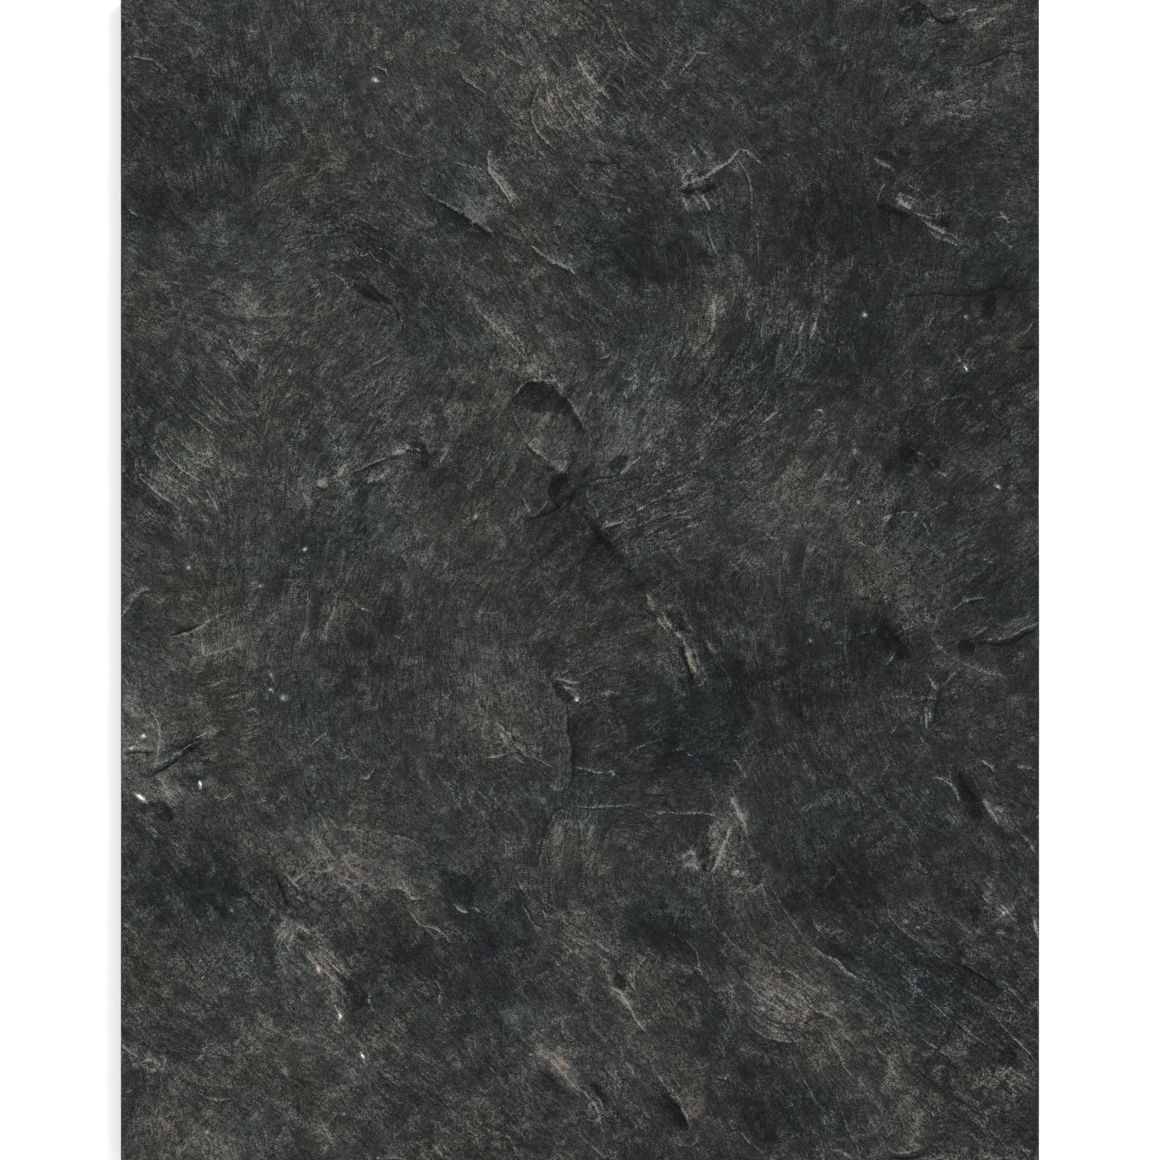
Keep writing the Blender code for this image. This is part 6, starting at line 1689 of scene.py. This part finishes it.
def grain_run(graph):
    """The grain's direction as a unit vector, halved from the stored double angle."""
    double = graph.field("grain")
    angle = graph.math("MULTIPLY", graph.math("ARCTAN2", double["Y"], double["X"]), 0.5)
    node = graph.add("ShaderNodeCombineXYZ", {"X": graph.math("COSINE", angle),
                                              "Y": graph.math("SINE", angle)})
    return node.outputs[0]


def along_grain(graph, place, run, cell, step, count):
    """Noise smeared along the grain, about 0."""
    total = 0.0
    for i in range(count):
        ahead = (i - (count - 1) / 2) * step
        spot = graph.vector("MULTIPLY_ADD", run, (ahead,) * 3, place)
        total = graph.math("MULTIPLY_ADD", graph.noise(spot, cell), 1.0 / count ** 0.5, total)
    return total


def bell(graph, value, centre, width):
    """A bump of height 1 at the centre."""
    shift = graph.math("MULTIPLY_ADD", value, 1.0 / width, -centre / width)
    square = graph.math("MULTIPLY", shift, shift)
    return graph.math("EXPONENT", graph.math("MULTIPLY", square, -1.0))


def mesa(graph, value):
    """A flat-topped bump of height 1 about 0, with its edges at -1 and 1."""
    square = graph.math("MULTIPLY", value, value)
    return graph.math("EXPONENT", graph.math("MULTIPLY", graph.math("MULTIPLY", square, square),
                                             -1.0))


# Each line's lit-side fringe, partly pale stone and partly painted light, and its painted shadow.
HALO_OFFSET, HALO_WIDTH, HALO_SHARE = 1.6, 1.7, 0.26
SHADE_OFFSET, SHADE_WIDTH = -1.9, 1.3


def drawn_pockets(graph, wobble):
    """How far inside a pocket's outline, its tone there (in the black ones partly painted shade) and its
    warmth.
    """
    field = graph.field("pockets")
    gap = graph.math("ADD", field["X"], wobble)
    inside = graph.math("MULTIPLY_ADD", gap, -1.0 / POCKET_SOFTNESS, 0.5, clamp=True)
    return (inside, graph.math("MULTIPLY", inside, graph.math("MULTIPLY", field["Y"], 0.8)),
            graph.math("MULTIPLY", inside, field["Z"]))


def drawn_lines(graph, wobble):
    """The tone of all lines with their painted shadows, the tone of all specks, and their relief."""
    tone, flecks, relief = 0.0, 0.0, 0.0
    jog = graph.math("MULTIPLY", wobble, 0.4)
    for i in range(LINE_CHANNELS):
        field = graph.field(f"lines_{i}")
        beside = graph.math("ADD", field["X"], wobble)
        core = mesa(graph, beside)
        # The fringe on the lit side: partly pale stone, partly painted light.
        halo = bell(graph, beside, HALO_OFFSET, HALO_WIDTH)
        crest = graph.math("MULTIPLY", graph.math("MULTIPLY_ADD", halo, HALO_SHARE, core),
                           field["Y"])
        # The painted shadow on the line's right.
        shade = graph.math("MULTIPLY", bell(graph, beside, SHADE_OFFSET, SHADE_WIDTH), field["Z"])
        tone = graph.math("ADD", tone, graph.math("SUBTRACT", crest, shade))
        relief = graph.math("ADD", relief, crest)
    for i in range(SPECK_CHANNELS):
        field = graph.field(f"specks_{i}")
        along = graph.math("ADD", field["X"], jog)
        out = graph.math("MULTIPLY_ADD", field["Y"], field["Y"],
                         graph.math("MULTIPLY", along, along))
        fleck = graph.math("MULTIPLY", graph.math("EXPONENT", graph.math("MULTIPLY", out, -1.0)),
                           field["Z"])
        flecks = graph.math("ADD", flecks, fleck)
        relief = graph.math("ADD", relief, fleck)
    return tone, flecks, relief


LINE_TONE = 0.78
FLECK_TONE = 0.85
TONE_LIMIT, TONE_SOFTNESS = 0.96, 0.70
POCKET_SOFTNESS = 1.0
SLATE_ALBEDO = 0.0300
DISPLAY_POWER = 2.2
TINTS = [(0.0, (0.90, 1.00, 1.06)), (0.35, (0.955, 1.02, 0.985)), (0.6, (0.995, 1.01, 0.955)),
         (1.0, (1.10, 1.00, 0.86))]
TINT_RANGE = 1.2
FLAKE_RIM = 0.10
# Small stains of colour: cell across in millimetres, and strength.
STAINS = [(60.0, 0.09), (7.0, 0.06)]


def tinted(graph, tone, warmth):
    """The slate's colour for a log display tone and a warmth from 0 to 1."""
    ramp = graph.add("ShaderNodeValToRGB", {"Fac": warmth})
    stops = ramp.color_ramp.elements
    while len(stops) < len(TINTS):
        stops.new(0.5)
    for stop, (place, tint) in zip(stops, TINTS):
        stop.position = place
        stop.color = (*[channel / TINT_RANGE for channel in tint], 1.0)
    pale = graph.math("EXPONENT", graph.math("MULTIPLY", tone, DISPLAY_POWER))
    albedo = graph.math("MULTIPLY", pale, SLATE_ALBEDO * TINT_RANGE)
    return graph.scaled(ramp.outputs["Color"], albedo)


def mottled(graph, colour, place, cell, size):
    """The colour with small patches leaning to green, purple or brown."""
    node = graph.add("ShaderNodeTexNoise", {"Vector": place, "Scale": 1.0 / cell, "Detail": 0.0},
                     noise_dimensions="2D")
    lean = graph.vector("MULTIPLY_ADD", node.outputs["Color"],
                        (2 * size, 0.0, 2 * size), (1.0 - size, 1.0, 1.0 - size))
    return graph.vector("MULTIPLY", colour, lean)


def flakes(graph, level):
    """Overlapping flakes: a tone that climbs and falls back at each contour of a level."""
    climb = graph.math("FRACT", level)
    flake = graph.math("MULTIPLY_ADD", climb, 2.0, -1.0)
    return flake, bell(graph, climb, 1.0, FLAKE_RIM)


def grain_layers(graph, place):
    """The noises that the unnamed grain is made of, by name. Most are about 0."""
    run = grain_run(graph)
    broad = graph.field("broad")
    sway = graph.noise(place, 5.5, 1.0)
    swayed = graph.vector("MULTIPLY_ADD", graph.turned(run),
                          graph.same(graph.math("MULTIPLY", sway, 1.3)), run)
    streak = along_grain(graph, place, swayed, 1.5, 1.7, 5)
    sweep = along_grain(graph, place, run, 3.2, 3.4, 4)
    lumps = graph.noise(place, 2.8, 2.0, 0.7, distortion=1.0)
    flake, flake_edge = flakes(graph, graph.math("MULTIPLY_ADD", lumps, 0.35, broad["Z"]))
    layers = {"bands": broad["X"], "clouds": broad["Y"], "sway": sway, "streak": streak,
              "sweep": sweep, "lumps": lumps, "flake": flake,
              "hair": along_grain(graph, place, swayed, 0.7, 0.8, 4),
              "grit": graph.noise(place, 0.66, 1.0, 0.7),
              "ridges": bell(graph, lumps, 0.04, 0.07), "dips": bell(graph, lumps, -0.14, 0.07)}
    gate = graph.math("MULTIPLY_ADD", graph.math("MULTIPLY_ADD", lumps, 2.0, broad["Y"]), 0.7, 0.4,
                      clamp=True)
    gated = {"flake_edge": flake_edge, "fine_threads": bell(graph, streak, 0.12, 0.08),
             "fine_dips": bell(graph, streak, -0.10, 0.08),
             "threads": bell(graph, sweep, 0.05, 0.06)}
    for name, layer in gated.items():
        layers[name] = graph.math("MULTIPLY", layer, gate)
    return layers


def mixed(graph, layers, **weights):
    """The sum of named layers, each with its weight."""
    return graph.total([(layers[name], weight) for name, weight in weights.items()])


def ground_tone(graph, place, layers, patch, crumble):
    """The tone between the named lines: patches, streaks, and fine fibres or crumbs."""
    drawn = mixed(graph, layers, streak=0.24, sweep=0.24, threads=0.55, fine_threads=0.20)
    drawn = graph.math("MULTIPLY", drawn, graph.field("grain")["Z"])
    busy = graph.total([(graph.noise(place, 15.0), 0.45), (patch, 0.05), (crumble, 0.20),
                        (0.90, 1.0)])
    fibres = mixed(graph, layers, hair=0.46, streak=0.36, fine_threads=0.34, fine_dips=-0.22,
                   threads=0.14)
    crumbs = mixed(graph, layers, grit=0.42, lumps=0.38, ridges=0.28, dips=-0.26,
                   flake_edge=0.34)
    fine = graph.math("MULTIPLY", fibres, graph.math("MULTIPLY_ADD", crumble, -0.6, 1.0))
    fine = graph.math("MULTIPLY_ADD", crumbs, graph.math("MULTIPLY_ADD", crumble, 0.7, 0.85),
                      fine)
    tone = graph.total([(patch, 1.34), (layers["bands"], 0.048), (layers["clouds"], 0.048),
                        (drawn, 1.0), (layers["flake"], 0.07), (-0.075, 1.0)])
    return graph.math("MULTIPLY_ADD", fine, busy, tone)


def slate_colour(graph, place, tone, warm):
    """The riven face's colour, with the lean of the whole face and small stains."""
    across = graph.math("MULTIPLY_ADD", graph.split(place)["X"], ACROSS_GREEN / HALF_X, 0.988)
    lean = graph.add("ShaderNodeCombineXYZ", {"X": across, "Y": 1.0, "Z": across}).outputs[0]
    colour = graph.vector("MULTIPLY", tinted(graph, tone, warm), lean)
    for cell, size in STAINS:
        colour = mottled(graph, colour, place, cell, size)
    return colour


def riven_material():
    """The split face: streaks along the grain, drawn breaks with painted shadows, flecks and tone patches.
    """
    graph = Graph("slate_riven")
    place = millimetres(graph)
    fields = graph.field("ground")
    patch, warmth, crumble = fields["X"], fields["Y"], fields["Z"]
    layers = grain_layers(graph, place)
    wobble = mixed(graph, layers, lumps=0.55, sway=0.45)
    lines, flecks, relief = drawn_lines(graph, wobble)
    broken = mixed(graph, layers, grit=0.20, streak=0.60, hair=0.70, lumps=0.60, clouds=0.10)
    lines = graph.math("MULTIPLY", lines, graph.math("ADD", broken, 0.95))
    inside, pocket_tone, pocket_warmth = drawn_pockets(graph, graph.math("MULTIPLY", wobble, 2.2))

    tone = graph.total([(ground_tone(graph, place, layers, patch, crumble), 1.0),
                        (lines, LINE_TONE), (pocket_tone, 1.0)])
    tone = graph.math("SMOOTH_MIN", tone, TONE_LIMIT, TONE_SOFTNESS)
    tone = graph.math("MULTIPLY_ADD", flecks, FLECK_TONE, tone)
    warm = graph.total([(patch, 1.00), (warmth, 0.30), (layers["clouds"], 0.04),
                        (layers["lumps"], 0.10), (tone, 0.12), (pocket_warmth, 0.7), (0.36, 1.0)])
    height = graph.total([(layers["lumps"], 0.62), (layers["flake"], -0.25), (relief, 0.20),
                          (inside, -0.30)])
    graph.set(Base_Color=slate_colour(graph, place, tone, warm), Specular_IOR_Level=0.15,
              Roughness=graph.math("MULTIPLY_ADD", layers["hair"], -0.08, 0.70))
    graph.bump(height)
    return graph.material


def sawn_material():
    """A sawn edge: the layers seen end on, with faint saw marks."""
    graph = Graph("slate_sawn")
    place = millimetres(graph)
    layers = graph.noise(graph.vector("MULTIPLY", place, (0.012, 0.012, 1.0)), 0.9, 3.0, 0.6, "3D")
    bands = graph.noise(graph.vector("MULTIPLY", place, (0.006, 0.006, 1.0)), 3.6, 1.0, 0.5, "3D")
    grit = graph.noise(place, 0.7, 2.0, 0.6, "3D")
    cloud = graph.noise(place, 42.0, 2.0, 0.5, "3D")
    saw = graph.noise(graph.vector("MULTIPLY", place, (1.0, 1.0, 0.06)), 1.5, 1.0, 0.5, "3D")
    seams = bell(graph, bands, -0.16, 0.05)
    tone = graph.total([(layers, 0.26), (bands, 0.16), (seams, -0.16), (grit, 0.22), (cloud, 0.26),
                        (saw, 0.03), (0.18, 1.0)])
    warm = graph.total([(bands, 0.3), (cloud, 0.4), (0.38, 1.0)])
    height = graph.total([(layers, 0.04), (seams, -0.10), (grit, 0.04), (saw, 0.01)])
    graph.set(Base_Color=tinted(graph, tone, warm), Roughness=0.62, Specular_IOR_Level=0.3)
    graph.bump(height)
    return graph.material


def gauged_material():
    """The back, planed flat: faint parallel tool lines and dust."""
    graph = Graph("slate_gauged")
    place = millimetres(graph)
    marks = graph.noise(graph.vector("MULTIPLY", place, (1.0, 0.02, 1.0)), 2.2, 2.0, 0.6)
    grit = graph.noise(place, 1.2, 2.0, 0.6)
    cloud = graph.noise(place, 60.0, 3.0, 0.55)
    dust = graph.noise(place, 14.0, 3.0, 0.6)
    tone = graph.total([(marks, 0.035), (grit, 0.20), (dust, 0.16), (cloud, 0.34), (0.20, 1.0)])
    warm = graph.total([(cloud, 0.4), (dust, 0.2), (0.40, 1.0)])
    height = graph.total([(marks, 0.008), (grit, 0.03)])
    graph.set(Base_Color=tinted(graph, tone, warm), Roughness=0.68, Specular_IOR_Level=0.3)
    graph.bump(height)
    return graph.material


def add_slab():
    """The dressed slab, in place of the solid one."""
    slab = bpy.data.objects.new("riven_slate_slab", slab_mesh())
    for material in (riven_material(), sawn_material(), gauged_material()):
        slab.data.materials.append(material)
    bpy.context.scene.collection.objects.link(slab)
    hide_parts(NODE)
    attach(slab, "root")


# ---------------------------------------------------------------------------------------
# Floor, light and camera.

FLOOR_SIZE = 14.0
# The floor lies a hair below the slab and stops a little inside its outline, so that the
# slab's back can be seen from below.
FLOOR_GAP = 0.0002
FLOOR_LAP = 0.004
FLOOR_COLOUR = (0.50, 0.50, 0.50, 1.0)
FLOOR_GLOW = 1.25
WORLD_LIGHT = 0.55
KEY_PLACE = (1.3, 1.5, 3.4)
KEY_SIZE = 1.6
KEY_POWER = 100.0
LENS = 200.0
SENSOR = 36.0
SEEN_LENGTH = 0.7572


def add_floor():
    """A wide pale floor, open under the slab."""
    mesh = bpy.data.meshes.new("floor")
    corners = [(-1, -1), (1, -1), (1, 1), (-1, 1)]
    outer = [(x * FLOOR_SIZE / 2, y * FLOOR_SIZE / 2, -FLOOR_GAP) for x, y in corners]
    reach_x, reach_y = high_corner[0] - FLOOR_LAP, high_corner[1] - FLOOR_LAP
    inner = [(x * reach_x, y * reach_y, -FLOOR_GAP) for x, y in corners]
    mesh.from_pydata(outer + inner, [], [(i, (i + 1) % 4, 4 + (i + 1) % 4, 4 + i)
                                         for i in range(4)])
    floor = bpy.data.objects.new("floor", mesh)
    graph = Graph("floor")
    graph.set(Base_Color=FLOOR_COLOUR, Roughness=0.9)
    graph.set(Emission_Color=FLOOR_COLOUR, Emission_Strength=FLOOR_GLOW)
    mesh.materials.append(graph.material)
    bpy.context.scene.collection.objects.link(floor)


def add_light():
    """A white sky, and one soft lamp from the upper right."""
    world = bpy.data.worlds.new("studio")
    bpy.context.scene.world = world
    world.use_nodes = True
    sky = world.node_tree.nodes["Background"]
    sky.inputs["Color"].default_value = (1.0, 1.0, 1.0, 1.0)
    sky.inputs["Strength"].default_value = WORLD_LIGHT
    lamp = bpy.data.lights.new("key", "AREA")
    lamp.size = KEY_SIZE
    lamp.energy = KEY_POWER
    key = bpy.data.objects.new("key", lamp)
    key.location = KEY_PLACE
    towards = -key.location
    key.rotation_euler = towards.to_track_quat("-Z", "Y").to_euler()
    bpy.context.scene.collection.objects.link(key)


def add_camera():
    """Straight above the middle, with the slab's length filling the frame."""
    lens = bpy.data.cameras.new("camera")
    lens.lens = LENS
    lens.sensor_width = SENSOR
    camera = bpy.data.objects.new("camera", lens)
    distance = SEEN_LENGTH / 2 / (SENSOR / 2 / LENS)
    camera.location = (0.0, 0.0, high_corner[2] + distance)
    lens.clip_end = 50.0
    bpy.context.scene.collection.objects.link(camera)
    bpy.context.scene.camera = camera


add_slab()
add_floor()
add_light()
add_camera()
bpy.context.scene.view_settings.view_transform = "Standard"
